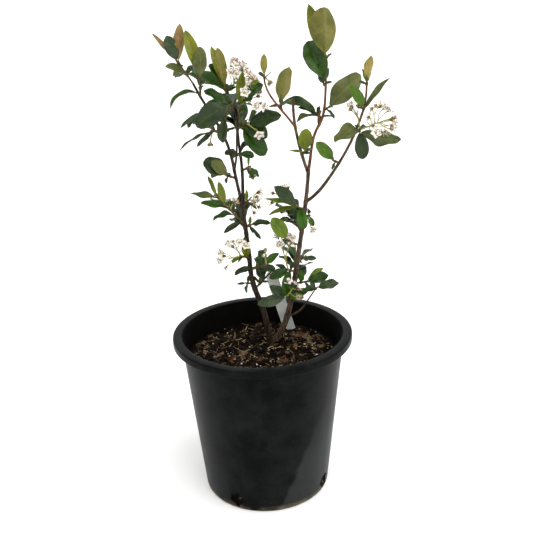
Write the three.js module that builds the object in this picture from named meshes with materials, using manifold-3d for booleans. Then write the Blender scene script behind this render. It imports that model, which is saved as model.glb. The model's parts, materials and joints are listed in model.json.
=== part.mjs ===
// A young potted chokeberry in flower: two stems, their boughs, and sprays of leaves and blossom.
// Millimetres, +Z up, the viewer stands on the -Y side and +X is to their right.
import * as THREE from 'three';
import { mergeVertices } from 'three/addons/utils/BufferGeometryUtils.js';
import Module from 'manifold-3d';

const wasm = await Module();
wasm.setup();

// Driving dimensions, in millimetres
const GAP = 0.3;
const POT = {
  height: 190, rimRadius: 100, rimDrop: 8, rimThickness: 2, wallTopRadius: 91, baseRadius: 72.7,
  wall: 1.8, floor: 2.6, corner: 3, sides: 40,
};
const DRAIN = { count: 4, firstAngle: -118, width: 14, height: 15, sill: 4.5, depth: 14, sides: 10 };
const SOIL = { level: 163, edgeDip: 3, flatRadius: 79, sides: 40 };
const LABEL = { x: 33, y: 60, lean: -16, length: 92, width: 14, thickness: 0.9 };
const LIMB = { sides: 7, ringSpacing: 15, flare: 0.38, flareHeight: 14, pathSteps: 40 };
const SHOOT = { sides: 4, collar: 1.6, tipRadius: 0.75, spacing: 1.1 };
const LEAF = {
  petiole: 0.07, stalk: 0.6, thickness: 0.9, broad: 0.44, fold: 14, reach: 92, margin: 0.5,
  small: 16, middling: 25,
};
const BLOSSOM = {
  petal: 6.4, notch: 3.3, cup: 1.1, heel: 1.3, bud: 2.1, stalk: 0.55, dome: 0.4, goldenAngle: 137.5,
};

// Colours of each kind of surface
const COLOURS = {
  pot: 0x1d1d1c, soil: 0x3b2f25, label: 0xd6d7d4, oldBark: 0x6d6152, youngBark: 0x7a5140,
  old: 0x4a5a3f, mid: 0x6d7d45, olive: 0x7c7f50, bright: 0x8f9c4c, young: 0x9a8c52, bronze: 0x8f6f4c,
};

// Stems and boughs. Leans are degrees to the right of upright, read evenly from foot to tip.
// Toward is degrees leaned to the viewer. A bough springs from its parent at a share of its length.
const LIMBS = [
  {
    name: 'left_stem', foot: [9.4, 17],
    length: 165, radius: 3.6, tipRadius: 2.1, bark: 'oldBark',
    leans: [-5, -12, -20, -2, -5, -6], toward: 4,
  },
  {
    name: 'right_stem', foot: [13.4, 27],
    length: 212, radius: 3.6, tipRadius: 1.9, bark: 'oldBark',
    leans: [36, 14, 9, 8, 9, 6, 4], toward: 4.5,
  },
  {
    name: 'left_leader', parent: 'left_stem', at: 1,
    length: 125, radius: 1.9, tipRadius: 1.1, bark: 'oldBark',
    leans: [1, 1, -7, -1, -30], toward: -17,
  },
  {
    name: 'left_outer_bough', parent: 'left_stem', at: 0.98,
    length: 165, radius: 1.9, tipRadius: 1.1, bark: 'oldBark',
    leans: [-5, -9, -7, -20, -29, -21], toward: 22,
  },
  {
    name: 'left_inner_bough', parent: 'left_outer_bough', at: 0.36,
    length: 53, radius: 1.1, tipRadius: 0.9, bark: 'oldBark',
    leans: [14, 1, 11], toward: -8,
  },
  {
    name: 'right_leader', parent: 'right_stem', at: 1,
    length: 92, radius: 1.7, tipRadius: 1.2, bark: 'youngBark',
    leans: [12, 8, 15, 34, 13, 4, 6], toward: -16,
  },
  {
    name: 'right_side_bough', parent: 'right_stem', at: 0.83,
    length: 154, radius: 1.9, tipRadius: 1, bark: 'oldBark',
    leans: [49, 31, 27, 20, 13, -5], toward: 24,
  },
  {
    name: 'right_inner_bough', parent: 'right_stem', at: 0.98,
    length: 81, radius: 1.7, tipRadius: 1.4, bark: 'oldBark',
    leans: [-19, -15, -8, 1], toward: 5,
  },
  {
    name: 'cross_bough', parent: 'right_inner_bough', at: 0.64,
    length: 71, radius: 1.3, tipRadius: 0.9, bark: 'youngBark',
    leans: [-33, -38, -33, -10], toward: 32,
  },
  {
    name: 'cut_stub', parent: 'right_leader', at: 0.53,
    length: 16, radius: 1.5, tipRadius: 1.4, bark: 'oldBark',
    leans: [-12, 20], toward: 14,
  },
  {
    name: 'low_side_bough', parent: 'right_stem', at: 0.17,
    length: 60, radius: 1.2, tipRadius: 0.8, bark: 'oldBark',
    leans: [64, 24, 24], toward: 30,
  },
];

// One leaf of a spray: the way its tip lies, its length, and what differs from the rule.
function leaf(lean, length, options = {}) {
  return { at: 1, toward: 0, tone: null, ...options, lean, length };
}

// One head of blossom of a spray: the way its stalk rises, how far, and how wide the flowers spread.
function bloom(lean, rise, spread, count, options = {}) {
  return { at: 1, toward: 10, open: 0.8, ...options, lean, rise, spread, count };
}

// Sprays of foliage, each on one short shoot that leaves its limb at a share of the limb's length.
// Back is how many further leaves the growth rule sets on the far side.
const SPRAYS = [
  {
    name: 'left_tip_spray', limb: 'left_outer_bough', at: 1,
    lean: -33, toward: 4, length: 23, tone: 'mid', back: 1,
    leaves: [
      leaf(-43, 36, { toward: -22, tone: 'bronze', broad: 0.15 }),
      leaf(-21, 25, { toward: -8, tone: 'old', face: 60, broad: 0.52 }),
      leaf(7, 35, { toward: 9, tone: 'bronze', face: -70, broad: 0.32 }),
      leaf(-66, 21, { at: 0.55, toward: 25, tone: 'olive', face: 60, broad: 0.5 }),
    ],
  },
  {
    name: 'left_tip_lower_spray', limb: 'left_outer_bough', at: 0.91,
    lean: 6, toward: 34, length: 20, tone: 'mid', back: 1,
    leaves: [
      leaf(3, 27, { toward: 4, tone: 'olive', face: 50, broad: 0.52 }),
      leaf(-16, 45, { toward: -14, tone: 'young', face: 44, broad: 0.28 }),
      leaf(-112, 31, { at: 0, toward: 12, droop: 110, tone: 'old', broad: 0.26 }),
    ],
  },
  {
    name: 'left_hanging_spray', limb: 'left_outer_bough', at: 0.64,
    lean: -70, toward: 38, length: 9, tone: 'old', back: 1,
    leaves: [
      leaf(-118, 37, { face: 18, broad: 0.13 }),
      leaf(-130, 22, { toward: 15, broad: 0.28 }),
    ],
    blooms: [bloom(-165, 14, 3, 2, { open: 0 })],
  },
  {
    name: 'left_front_spray', limb: 'left_outer_bough', at: 0.68,
    lean: 28, toward: 45, length: 39, tone: 'old', back: 2,
    leaves: [
      leaf(-120, 39, { toward: 8, broad: 0.52, face: 58, droop: 44 }),
      leaf(187, 24, { at: 0.42, toward: 4, broad: 0.52, face: 72 }),
      leaf(-40, 12, { at: 1, toward: 10, broad: 0.6, face: 60 }),
    ],
  },
  {
    name: 'left_arching_spray', limb: 'left_outer_bough', at: 0.77,
    lean: -60, toward: 34, length: 7, tone: 'old', back: 0,
    leaves: [
      leaf(-130, 22, { broad: 0.4, face: 45 }),
      leaf(-118, 28, { toward: 15, droop: 75, broad: 0.2 }),
      leaf(110, 20, { toward: 30, broad: 0.25 }),
    ],
  },
  {
    name: 'left_round_leaf_spray', limb: 'left_outer_bough', at: 0.3,
    lean: -65, toward: 22, length: 8, tone: 'old', back: 1,
    leaves: [
      leaf(-54, 27, { tone: 'olive', broad: 0.76, face: 60, droop: 25 }),
    ],
  },
  {
    name: 'inner_top_spray', limb: 'left_inner_bough', at: 1,
    lean: 14, toward: -4, length: 16, tone: 'old', back: 2,
    leaves: [
      leaf(6, 37, { at: 0.6, toward: 18, tone: 'bright', face: 40, broad: 0.32 }),
      leaf(10, 23, { toward: -6, face: 40, broad: 0.26 }),
      leaf(40, 28, { toward: -8, tone: 'bright', face: 30, broad: 0.3 }),
      leaf(50, 31, { toward: 20, face: 50, broad: 0.5 }),
    ],
    blooms: [bloom(54, 22, 17, 5, { at: 0.7, toward: 22, open: 0.25 })],
  },
  {
    name: 'inner_right_spray', limb: 'left_leader', at: 0.72,
    lean: 62, toward: 34, length: 12, tone: 'old', back: 2,
    leaves: [
      leaf(36, 28, { tone: 'olive', broad: 0.24, face: 40 }),
      leaf(76, 38, { toward: 12, broad: 0.5, face: 62 }),
      leaf(122, 26, { toward: 8, broad: 0.66, face: 62 }),
      leaf(142, 39, { at: 0.5, broad: 0.56, face: 66, toward: 12 }),
    ],
    blooms: [bloom(112, 32, 2, 1, { toward: 66, open: 1 })],
  },
  {
    name: 'leader_top_spray', limb: 'left_leader', at: 1,
    lean: -25, toward: 5, length: 8, tone: 'mid', back: 1,
    leaves: [
      leaf(-8, 44, { toward: 14, tone: 'young', face: -60, broad: 0.3 }),
      leaf(-18, 49, { toward: -22, tone: 'young', face: 60, broad: 0.24 }),
      leaf(-33, 33, { toward: -18, tone: 'old', face: 40 }),
      leaf(-63, 45, { toward: 14, tone: 'old', face: 52, broad: 0.36 }),
    ],
    blooms: [bloom(49, 30, 20, 16, { at: 0.6, toward: 18, open: 0.6 })],
  },
  {
    name: 'leader_left_spray', limb: 'left_leader', at: 0.9,
    lean: -60, toward: 38, length: 6, tone: 'old', back: 2,
    leaves: [
      leaf(-104, 22, { toward: 4, tone: 'mid', broad: 0.22, face: 40 }),
      leaf(-58, 30, { toward: 2, broad: 0.44, face: 50 }),
      leaf(-84, 26, { toward: 16, broad: 0.46, face: 58 }),
      leaf(-125, 10, { at: 0.6, toward: 20 }),
      leaf(-120, 19, { toward: -12, broad: 0.3, face: 10 }),
    ],
  },
  {
    name: 'leader_mid_spray', limb: 'left_leader', at: 0.48,
    lean: -20, toward: 58, length: 6, tone: 'old', back: 1,
    leaves: [
      leaf(-86, 15, { face: 50, broad: 0.6 }),
      leaf(100, 16, { face: 50, broad: 0.6 }),
    ],
  },
  {
    name: 'leader_right_spray', limb: 'left_leader', at: 0.36,
    lean: 60, toward: 15, length: 6, tone: 'old', back: 0,
    leaves: [
      leaf(138, 15, { face: 50 }),
      leaf(4, 14, { tone: 'bright', broad: 0.2 }),
    ],
    blooms: [bloom(164, 12, 4, 2, { open: 0 })],
  },
  {
    name: 'leader_foot_spray', limb: 'left_leader', at: 0.06,
    lean: 40, toward: 22, length: 10, tone: 'mid', back: 0,
    leaves: [leaf(2, 14, { at: 0.3, tone: 'bright', broad: 0.3 })],
    blooms: [bloom(92, 11, 14, 5, { at: 0.7, open: 0.15 })],
  },
  {
    name: 'left_side_spray', limb: 'left_stem', at: 0.92,
    lean: -37, toward: 24, length: 46, tone: 'mid', back: 2,
    leaves: [
      leaf(-21, 24, { tone: 'bright', broad: 0.24, toward: -8 }),
      leaf(-10, 26, { at: 0.75, toward: 8, tone: 'bright', broad: 0.34, face: 50 }),
      leaf(-77, 29, { tone: 'olive', broad: 0.28, face: 40 }),
      leaf(-75, 31, { at: 0.6, broad: 0.34, face: 30 }),
      leaf(-103, 24, { at: 0.4, tone: 'old', droop: 60, broad: 0.4 }),
      leaf(-113, 24, { at: 0.02, tone: 'old', toward: 24, broad: 0.34, face: 44 }),
    ],
    blooms: [bloom(20, 10, 6, 3, { at: 0.5, open: 0.2 })],
  },
  {
    name: 'left_stem_right_spray', limb: 'left_stem', at: 0.9,
    lean: 62, toward: 12, length: 3, tone: 'old', back: 0,
    leaves: [
      leaf(88, 21, { broad: 0.42, face: 45, droop: 50 }),
      leaf(5, 10, { tone: 'bright' }),
      leaf(143, 20, { broad: 0.26 }),
    ],
  },
  {
    name: 'left_bloom_spray', limb: 'left_stem', at: 0.68,
    lean: -50, toward: 48, length: 13, tone: 'mid', back: 0,
    leaves: [
      leaf(-4, 30, { at: 0.05, tone: 'bright', broad: 0.34, toward: 24, face: 62 }),
      leaf(-125, 13, { tone: 'bright', face: 40 }),
    ],
    blooms: [
      bloom(-26, 16, 14, 4, { open: 0.6 }),
      bloom(-98, 21, 10, 3, { open: 0.6 }),
    ],
  },
  {
    name: 'between_spray', limb: 'left_stem', at: 0.6,
    lean: 58, toward: 40, length: 23, tone: 'old', back: 2,
    leaves: [
      leaf(90, 24, { at: 0.1, face: 52, toward: 12, broad: 0.46 }),
      leaf(142, 17, { at: 0.15, face: 56, broad: 0.6 }),
      leaf(50, 20, { face: 48, broad: 0.46 }),
      leaf(20, 9, { at: 0.25, tone: 'mid' }),
      leaf(-104, 22, { at: 0.02, droop: 60, toward: 16, broad: 0.44, face: 40 }),
    ],
    blooms: [bloom(-6, 17, 7, 3, { open: 0 })],
  },
  {
    name: 'left_low_spray', limb: 'left_stem', at: 0.45,
    lean: 45, toward: -6, length: 20, tone: 'mid', back: 1,
    leaves: [
      leaf(8, 11, { at: 0.15, tone: 'bright' }),
      leaf(90, 8, { at: 0.35, tone: 'old' }),
      leaf(108, 15, { tone: 'old', face: 50 }),
    ],
  },
  {
    name: 'left_low_leaf', limb: 'left_stem', at: 0.49,
    lean: -78, toward: 8, length: 3, tone: 'old', back: 0,
    leaves: [leaf(-94, 11, { broad: 0.3 })],
  },
  {
    name: 'right_low_front_spray', limb: 'right_stem', at: 0.285,
    lean: -28, toward: 62, length: 24, tone: 'mid', back: 1,
    leaves: [
      leaf(-98, 34, { toward: 14, broad: 0.38, face: 62 }),
      leaf(-56, 23, { tone: 'old', face: 56, broad: 0.5 }),
      leaf(42, 17, { tone: 'old', face: 54, toward: -6, broad: 0.5 }),
      leaf(-8, 25, { broad: 0.4, face: 66, toward: 8 }),
      leaf(96, 18, { face: 56, broad: 0.6 }),
      leaf(66, 24, { at: 0.6, face: 60, broad: 0.46, toward: 10 }),
    ],
    blooms: [bloom(34, 18, 15, 3, { open: 0.35, toward: 10 })],
  },
  {
    name: 'right_low_side_spray', limb: 'right_stem', at: 0.37,
    lean: 62, toward: 42, length: 16, tone: 'old', back: 2,
    leaves: [
      leaf(73, 25, { toward: 6, broad: 0.54, face: 54 }),
      leaf(65, 28, { tone: 'bright', broad: 0.26, toward: -36 }),
      leaf(0, 16, { at: 0.6, tone: 'mid', toward: 10 }),
      leaf(150, 10, { face: 60 }),
    ],
  },
  {
    name: 'low_side_spray', limb: 'low_side_bough', at: 1,
    lean: 30, toward: 20, length: 4, tone: 'old', back: 0,
    leaves: [
      leaf(78, 25, { droop: 66, broad: 0.46, face: 52 }),
      leaf(-98, 13, { face: 54, broad: 0.6 }),
    ],
  },
  {
    name: 'right_mid_left_spray', limb: 'right_stem', at: 0.44,
    lean: -60, toward: 36, length: 8, tone: 'old', back: 0,
    leaves: [
      leaf(-66, 16, { broad: 0.36 }),
      leaf(-104, 25, { face: 58, toward: 24, broad: 0.5 }),
      leaf(-152, 20, { at: 0.7, face: 62, toward: 12, broad: 0.56 }),
      leaf(25, 10, { face: 50, toward: 15 }),
    ],
    blooms: [bloom(-13, 41, 15, 5, { open: 0.75, toward: 4 })],
  },
  {
    name: 'right_mid_right_leaf', limb: 'right_stem', at: 0.51,
    lean: 76, toward: 6, length: 2, tone: 'old', back: 0,
    leaves: [leaf(92, 15, { broad: 0.42, face: 42 })],
  },
  {
    name: 'right_bloom_spray', limb: 'right_stem', at: 0.59,
    lean: -47, toward: 46, length: 28, tone: 'mid', back: 0,
    leaves: [
      leaf(-31, 29, { at: 0.9, tone: 'bright', broad: 0.6, face: 52 }),
      leaf(-80, 11, { at: 0.6, tone: 'old', face: 50 }),
    ],
  },
  {
    name: 'right_stem_right_spray', limb: 'right_stem', at: 0.75,
    lean: 70, toward: 22, length: 2, tone: 'mid', back: 0,
    leaves: [leaf(158, 13, { face: 62, broad: 0.5 })],
    blooms: [bloom(172, 15, 2, 1, { open: 1 })],
  },
  {
    name: 'right_upper_spray', limb: 'right_stem', at: 0.79,
    lean: -52, toward: 50, length: 14, tone: 'old', back: 0,
    leaves: [
      leaf(-44, 35, { toward: 12, broad: 0.42, face: 46 }),
      leaf(-74, 37, { tone: 'bright', broad: 0.16 }),
      leaf(-104, 33, { tone: 'bright', broad: 0.22, droop: 60 }),
      leaf(170, 24, { at: 0.9, tone: 'mid', broad: 0.62, face: 62, toward: 28 }),
    ],
    blooms: [bloom(-40, 28, 19, 4, { open: 0.4, toward: -14 })],
  },
  {
    name: 'inner_light_spray', limb: 'right_inner_bough', at: 0.26,
    lean: 20, toward: 52, length: 5, tone: 'bright', back: 0,
    leaves: [
      leaf(6, 24, { broad: 0.64, face: 62 }),
      leaf(-80, 15, { broad: 0.26 }),
    ],
  },
  {
    name: 'cross_tip_spray', limb: 'cross_bough', at: 1,
    lean: 0, toward: 5, length: 3, tone: 'young', back: 0,
    leaves: [leaf(1, 21, { toward: 6, broad: 0.34, face: -50 })],
    blooms: [bloom(138, 9, 3, 2, { open: 0 })],
  },
  {
    name: 'cross_olive_spray', limb: 'cross_bough', at: 0.38,
    lean: -14, toward: 32, length: 7, tone: 'olive', back: 0,
    leaves: [
      leaf(14, 37, { toward: 6, broad: 0.46, face: -40 }),
      leaf(-96, 12, { toward: 10, broad: 0.3 }),
    ],
  },
  {
    name: 'right_leader_top_spray', limb: 'right_leader', at: 1,
    lean: 1, toward: -8, length: 26, tone: 'young', back: 0,
    leaves: [
      leaf(-4, 49, { toward: 6, broad: 0.66, face: -60, droop: 10 }),
      leaf(-17, 59, { toward: -19, tone: 'young', broad: 0.29, face: 76, droop: -10 }),
      leaf(-23, 49, { at: 0, toward: -26, tone: 'mid', broad: 0.56, face: 70, droop: 20 }),
    ],
  },
  {
    name: 'right_leader_right_spray', limb: 'right_leader', at: 0.7,
    lean: 52, toward: 16, length: 2, tone: 'old', back: 0,
    leaves: [
      leaf(47, 47, { tone: 'olive', broad: 0.5, droop: 70, face: 60 }),
    ],
  },
  {
    name: 'right_leader_left_spray', limb: 'right_leader', at: 0.6,
    lean: -42, toward: -34, length: 5, tone: 'old', back: 1,
    leaves: [
      leaf(-70, 38, { toward: -6, broad: 0.4, droop: 85, face: 45 }),
      leaf(-66, 24, { toward: 18, broad: 0.3 }),
      leaf(84, 17, { at: 0.05, toward: 36, broad: 0.26, face: 20 }),
    ],
  },
  {
    name: 'side_inner_spray', limb: 'right_side_bough', at: 0.41,
    lean: -62, toward: 22, length: 4, tone: 'mid', back: 0,
    leaves: [leaf(-42, 26, { broad: 0.52, face: 62 })],
  },
  {
    name: 'right_tip_spray', limb: 'right_side_bough', at: 1,
    lean: 0, toward: 0, length: 3, tone: 'young', back: 0,
    leaves: [
      leaf(7, 27, { at: 0.2, toward: 8, broad: 0.35, face: -40 }),
      leaf(-18, 14, { toward: -8, tone: 'bright', broad: 0.26 }),
    ],
  },
  {
    name: 'right_tip_lower_spray', limb: 'right_side_bough', at: 0.805,
    lean: 10, toward: 44, length: 8, tone: 'young', back: 0,
    leaves: [
      leaf(37, 40, { at: 0.3, toward: 12, tone: 'olive', broad: 0.21, face: 44 }),
      leaf(-32, 26, { tone: 'mid', broad: 0.44, face: 50 }),
    ],
  },
  {
    name: 'right_bloom_tip_spray', limb: 'right_side_bough', at: 0.65,
    lean: 40, toward: 42, length: 7, tone: 'old', back: 0,
    leaves: [
      leaf(-112, 28, { toward: 14, tone: 'olive', broad: 0.62, face: 46, droop: 90 }),
      leaf(172, 29, { broad: 0.52, face: 68, droop: 30 }),
      leaf(103, 43, { tone: 'olive', broad: 0.42, droop: -60, face: 52 }),
    ],
    blooms: [
      bloom(-10, 25, 8, 3, { toward: 8, open: 0.3 }),
      bloom(65, 32, 25, 10, { toward: 26, open: 0.2 }),
    ],
  },
  {
    name: 'back_left_spray', limb: 'left_stem', at: 0.86,
    lean: -32, toward: -62, length: 34, tone: 'old', back: 5,
    leaves: [],
  },
  {
    name: 'back_low_spray', limb: 'right_stem', at: 0.4,
    lean: 8, toward: -60, length: 32, tone: 'old', back: 5,
    leaves: [],
  },
  {
    name: 'back_mid_spray', limb: 'right_stem', at: 0.66,
    lean: -32, toward: -60, length: 34, tone: 'old', back: 6,
    leaves: [],
  },
  {
    name: 'back_top_spray', limb: 'left_leader', at: 0.66,
    lean: -16, toward: -60, length: 32, tone: 'old', back: 6,
    leaves: [],
  },
  {
    name: 'back_right_spray', limb: 'right_leader', at: 0.96,
    lean: -20, toward: -66, length: 30, tone: 'old', back: 4, fan: 28,
    leaves: [],
  },
];

// Growth
const UP = new THREE.Vector3(0, 0, 1);
const radians = THREE.MathUtils.degToRad;

// A repeatable run of numbers between 0 and 1.
function seededRandom(seed) {
  let state = seed >>> 0;
  return () => {
    state = (state + 0x6d2b79f5) >>> 0;
    let mixed = Math.imul(state ^ (state >>> 15), state | 1);
    mixed ^= mixed + Math.imul(mixed ^ (mixed >>> 7), mixed | 61);
    return ((mixed ^ (mixed >>> 14)) >>> 0) / 4294967296;
  };
}

// The direction that leans this far to the right and this far toward the viewer.
function heading(lean, toward) {
  const level = Math.cos(radians(toward));
  const x = Math.sin(radians(lean)) * level;
  const z = Math.cos(radians(lean)) * level;
  return new THREE.Vector3(x, -Math.sin(radians(toward)), z);
}

// A list of values read evenly over a length, at a share of that length.
function readAlong(values, share) {
  const place = Math.min(Math.max(share, 0), 1) * (values.length - 1);
  const first = Math.min(Math.floor(place), values.length - 2);
  return values[first] + (values[first + 1] - values[first]) * (place - first);
}

// Two directions square to an axis and to each other.
function crossAxes(axis) {
  const reference = Math.abs(axis.y) > 0.85 ? new THREE.Vector3(1, 0, 0) : new THREE.Vector3(0, 1, 0);
  const side = new THREE.Vector3().crossVectors(reference, axis).normalize();
  const across = new THREE.Vector3().crossVectors(axis, side).normalize();
  return [side, across];
}

// A closed solid drawn through rings of points; a ring of one point is a tip.
function loft(rings) {
  const positions = rings.flat().flatMap((point) => point.toArray());
  const starts = [];
  let count = 0;
  for (const ring of rings) {
    starts.push(count);
    count += ring.length;
  }
  const index = [];
  for (let r = 0; r + 1 < rings.length; r += 1) {
    const sides = Math.max(rings[r].length, rings[r + 1].length);
    for (let s = 0; s < sides; s += 1) {
      const next = (s + 1) % sides;
      const low = rings[r].length > 1 ? [starts[r] + s, starts[r] + next] : [starts[r]];
      const high = rings[r + 1].length > 1 ? [starts[r + 1] + s, starts[r + 1] + next] : [starts[r + 1]];
      if (low.length > 1) {
        index.push(low[0], low[1], high[0]);
      }
      if (high.length > 1) {
        index.push(low[low.length - 1], high[1], high[0]);
      }
    }
  }
  const last = rings.length - 1;
  for (let s = 1; s + 1 < rings[0].length; s += 1) {
    index.push(starts[0], starts[0] + s + 1, starts[0] + s);
  }
  for (let s = 1; s + 1 < rings[last].length; s += 1) {
    index.push(starts[last], starts[last] + s, starts[last] + s + 1);
  }
  const geometry = new THREE.BufferGeometry();
  geometry.setAttribute('position', new THREE.Float32BufferAttribute(positions, 3));
  geometry.setIndex(index);
  return geometry;
}

// A ring of points round a place on an axis.
function ringAround(centre, axis, radius, sides) {
  const [side, across] = crossAxes(axis);
  const ring = [];
  for (let s = 0; s < sides; s += 1) {
    const turn = (2 * Math.PI * s) / sides;
    const point = centre.clone();
    point.addScaledVector(side, radius * Math.cos(turn));
    point.addScaledVector(across, radius * Math.sin(turn));
    ring.push(point);
  }
  return ring;
}

function toSolid(geometry) {
  const bare = geometry.clone();
  bare.deleteAttribute('normal');
  bare.deleteAttribute('uv');
  const merged = mergeVertices(bare, 1e-4);
  const vertProperties = new Float32Array(merged.getAttribute('position').array);
  const triVerts = new Uint32Array(merged.getIndex().array);
  return new wasm.Manifold(new wasm.Mesh({ numProp: 3, vertProperties, triVerts }));
}

function toGeometry(solid) {
  const mesh = solid.getMesh();
  const geometry = new THREE.BufferGeometry();
  geometry.setAttribute('position', new THREE.Float32BufferAttribute(Array.from(mesh.vertProperties), 3));
  geometry.setIndex(Array.from(mesh.triVerts));
  geometry.computeVertexNormals();
  return geometry;
}

// The largest body of a solid; loose scraps are dropped.
function largestBody(solid) {
  const bodies = solid.decompose();
  return bodies.reduce((best, body) => (body.volume() > best.volume() ? body : best));
}

// Limbs
const limbs = new Map();

// Points, directions and radii from a limb's foot to its tip.
function limbPath(limb) {
  const parent = limb.parent ? limbs.get(limb.parent) : null;
  const place = new THREE.Vector3();
  if (parent) {
    place.copy(limbPlace(parent, limb.at).point);
  } else {
    place.set(limb.foot[0], limb.foot[1], SOIL.level + GAP);
  }
  const path = [];
  for (let step = 0; step <= LIMB.pathSteps; step += 1) {
    const share = step / LIMB.pathSteps;
    const axis = heading(readAlong(limb.leans, share), limb.toward);
    const rise = share * limb.length;
    const flare = parent ? 0 : LIMB.flare * Math.max(0, 1 - rise / LIMB.flareHeight) ** 2;
    const radius = (limb.radius + (limb.tipRadius - limb.radius) * share) * (1 + flare);
    path.push({ point: place.clone(), axis, radius });
    place.addScaledVector(axis, limb.length / LIMB.pathSteps);
  }
  return path;
}

// The point, direction and radius of a limb at a share of its length.
function limbPlace(limb, share) {
  const place = Math.min(Math.max(share, 0), 1) * LIMB.pathSteps;
  const first = Math.min(Math.floor(place), LIMB.pathSteps - 1);
  const from = limb.path[first];
  const to = limb.path[first + 1];
  const blend = place - first;
  return {
    point: from.point.clone().lerp(to.point, blend),
    axis: from.axis.clone().lerp(to.axis, blend).normalize(),
    radius: from.radius + (to.radius - from.radius) * blend,
  };
}

// A limb's solid, made thicker and longer all round by the given margin.
function limbSolid(limb, margin) {
  const count = Math.max(2, Math.round(limb.length / LIMB.ringSpacing));
  const shares = [0];
  if (!limb.parent) {
    shares.push((0.25 * LIMB.flareHeight) / limb.length, (0.6 * LIMB.flareHeight) / limb.length);
  }
  for (let ring = 1; ring <= count; ring += 1) {
    shares.push(ring / count);
  }
  const rings = shares.map((share, order) => {
    const { point, axis, radius } = limbPlace(limb, share);
    const square = order === 0 && !limb.parent ? UP : axis;
    const shift = order === 0 ? -margin : margin * (order === shares.length - 1 ? 1 : 0);
    return ringAround(point.addScaledVector(square, shift), square, radius + margin, LIMB.sides);
  });
  return toSolid(loft(rings));
}

for (const limb of LIMBS) {
  limb.path = limbPath(limb);
  limb.grown = limbSolid(limb, GAP);
  let solid = limbSolid(limb, 0);
  for (const earlier of limbs.values()) {
    solid = solid.subtract(earlier.grown);
  }
  limb.solid = largestBody(solid);
  limbs.set(limb.name, limb);
}

// Leaves
// Half the blade's width, as a share of its widest, at a share of the blade's length.
function bladeWidth(share) {
  return Math.sin(Math.PI * share ** 1.05) ** (0.8 - 0.25 * share);
}

// The frame of a leaf: the way its tip lies, the way its upper side looks, and the way across.
function leafFrame(lean, toward, face) {
  const chord = heading(lean, toward);
  const sky = new THREE.Vector3(0, -Math.sin(radians(face)), Math.cos(radians(face)));
  const upper = sky.addScaledVector(chord, -sky.dot(chord)).normalize();
  const across = new THREE.Vector3().crossVectors(upper, chord).normalize();
  return { chord, upper, across };
}

// A place on the midrib, which arches over its chord by the droop, and the way the upper side looks there.
function midrib(root, frame, length, droop, share) {
  const bend = radians(droop || 1);
  const arc = (length * bend) / 2 / Math.sin(bend / 2);
  const start = frame.chord.clone().multiplyScalar(Math.cos(bend / 2));
  start.addScaledVector(frame.upper, Math.sin(bend / 2));
  const rise = frame.upper.clone().multiplyScalar(Math.cos(bend / 2));
  rise.addScaledVector(frame.chord, -Math.sin(bend / 2));
  const turn = bend * share;
  const point = root.clone();
  point.addScaledVector(start, (arc * Math.sin(turn)) / bend);
  point.addScaledVector(rise, (-arc * (1 - Math.cos(turn))) / bend);
  const upper = rise.clone().multiplyScalar(Math.cos(turn)).addScaledVector(start, Math.sin(turn));
  return { point, upper };
}

// Shares of a leaf's length where its solid has a ring; a small leaf has fewer.
function leafStations(length) {
  if (length < LEAF.small) {
    return [0, 0.58];
  }
  return length < LEAF.middling ? [0, LEAF.petiole, 0.55] : [0, LEAF.petiole, 0.5, 0.83];
}

// A leaf's solid: a stalk sunk in the shoot and a blade folded a little along its midrib.
function leafSolid(plan, root, margin) {
  const frame = leafFrame(plan.lean, plan.toward, plan.face);
  const widest = (plan.length * plan.broad) / 2;
  const rings = leafStations(plan.length).map((share) => {
    const { point, upper } = midrib(root, frame, plan.length, plan.droop, share);
    const blade = Math.max(0, (share - LEAF.petiole) / (1 - LEAF.petiole));
    const half = Math.max(LEAF.stalk, widest * bladeWidth(blade)) + margin;
    const thick = LEAF.thickness / 2 + margin;
    const lift = half * Math.sin(radians(LEAF.fold)) * (blade > 0 ? 1 : 0);
    const spread = half * Math.cos(radians(LEAF.fold));
    return [
      point.clone().addScaledVector(frame.across, spread).addScaledVector(upper, lift),
      point.clone().addScaledVector(upper, thick),
      point.clone().addScaledVector(frame.across, -spread).addScaledVector(upper, lift),
      point.clone().addScaledVector(upper, -thick),
    ];
  });
  const tip = midrib(root, frame, plan.length, plan.droop, 1 + margin / plan.length);
  rings.push([tip.point]);
  return toSolid(loft(rings));
}

// Blossom
function stalkSolid(from, to, radius) {
  const axis = to.clone().sub(from).normalize();
  return toSolid(loft([ringAround(from, axis, radius, 3), ringAround(to, axis, radius, 3)]));
}

// A flower: five petals in a shallow cup, or a closed bud.
function flowerSolid({ head, look, open }, margin) {
  const points = open ? 10 : 4;
  const outer = (open ? BLOSSOM.petal : BLOSSOM.bud) + margin;
  const inner = (open ? BLOSSOM.notch : BLOSSOM.bud) + margin;
  const [side, across] = crossAxes(look);
  const brim = [];
  for (let p = 0; p < points; p += 1) {
    const turn = (2 * Math.PI * p) / points;
    const reach = p % 2 ? inner : outer;
    const point = head.clone().addScaledVector(look, open ? BLOSSOM.cup : 0);
    point.addScaledVector(side, reach * Math.cos(turn));
    point.addScaledVector(across, reach * Math.sin(turn));
    brim.push(point);
  }
  const heel = head.clone().addScaledVector(look, -(open ? BLOSSOM.heel : BLOSSOM.bud) - margin);
  const crown = head.clone().addScaledVector(look, (open ? 0.4 : BLOSSOM.bud) + margin);
  return toSolid(loft([[heel], brim, [crown]]));
}

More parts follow.
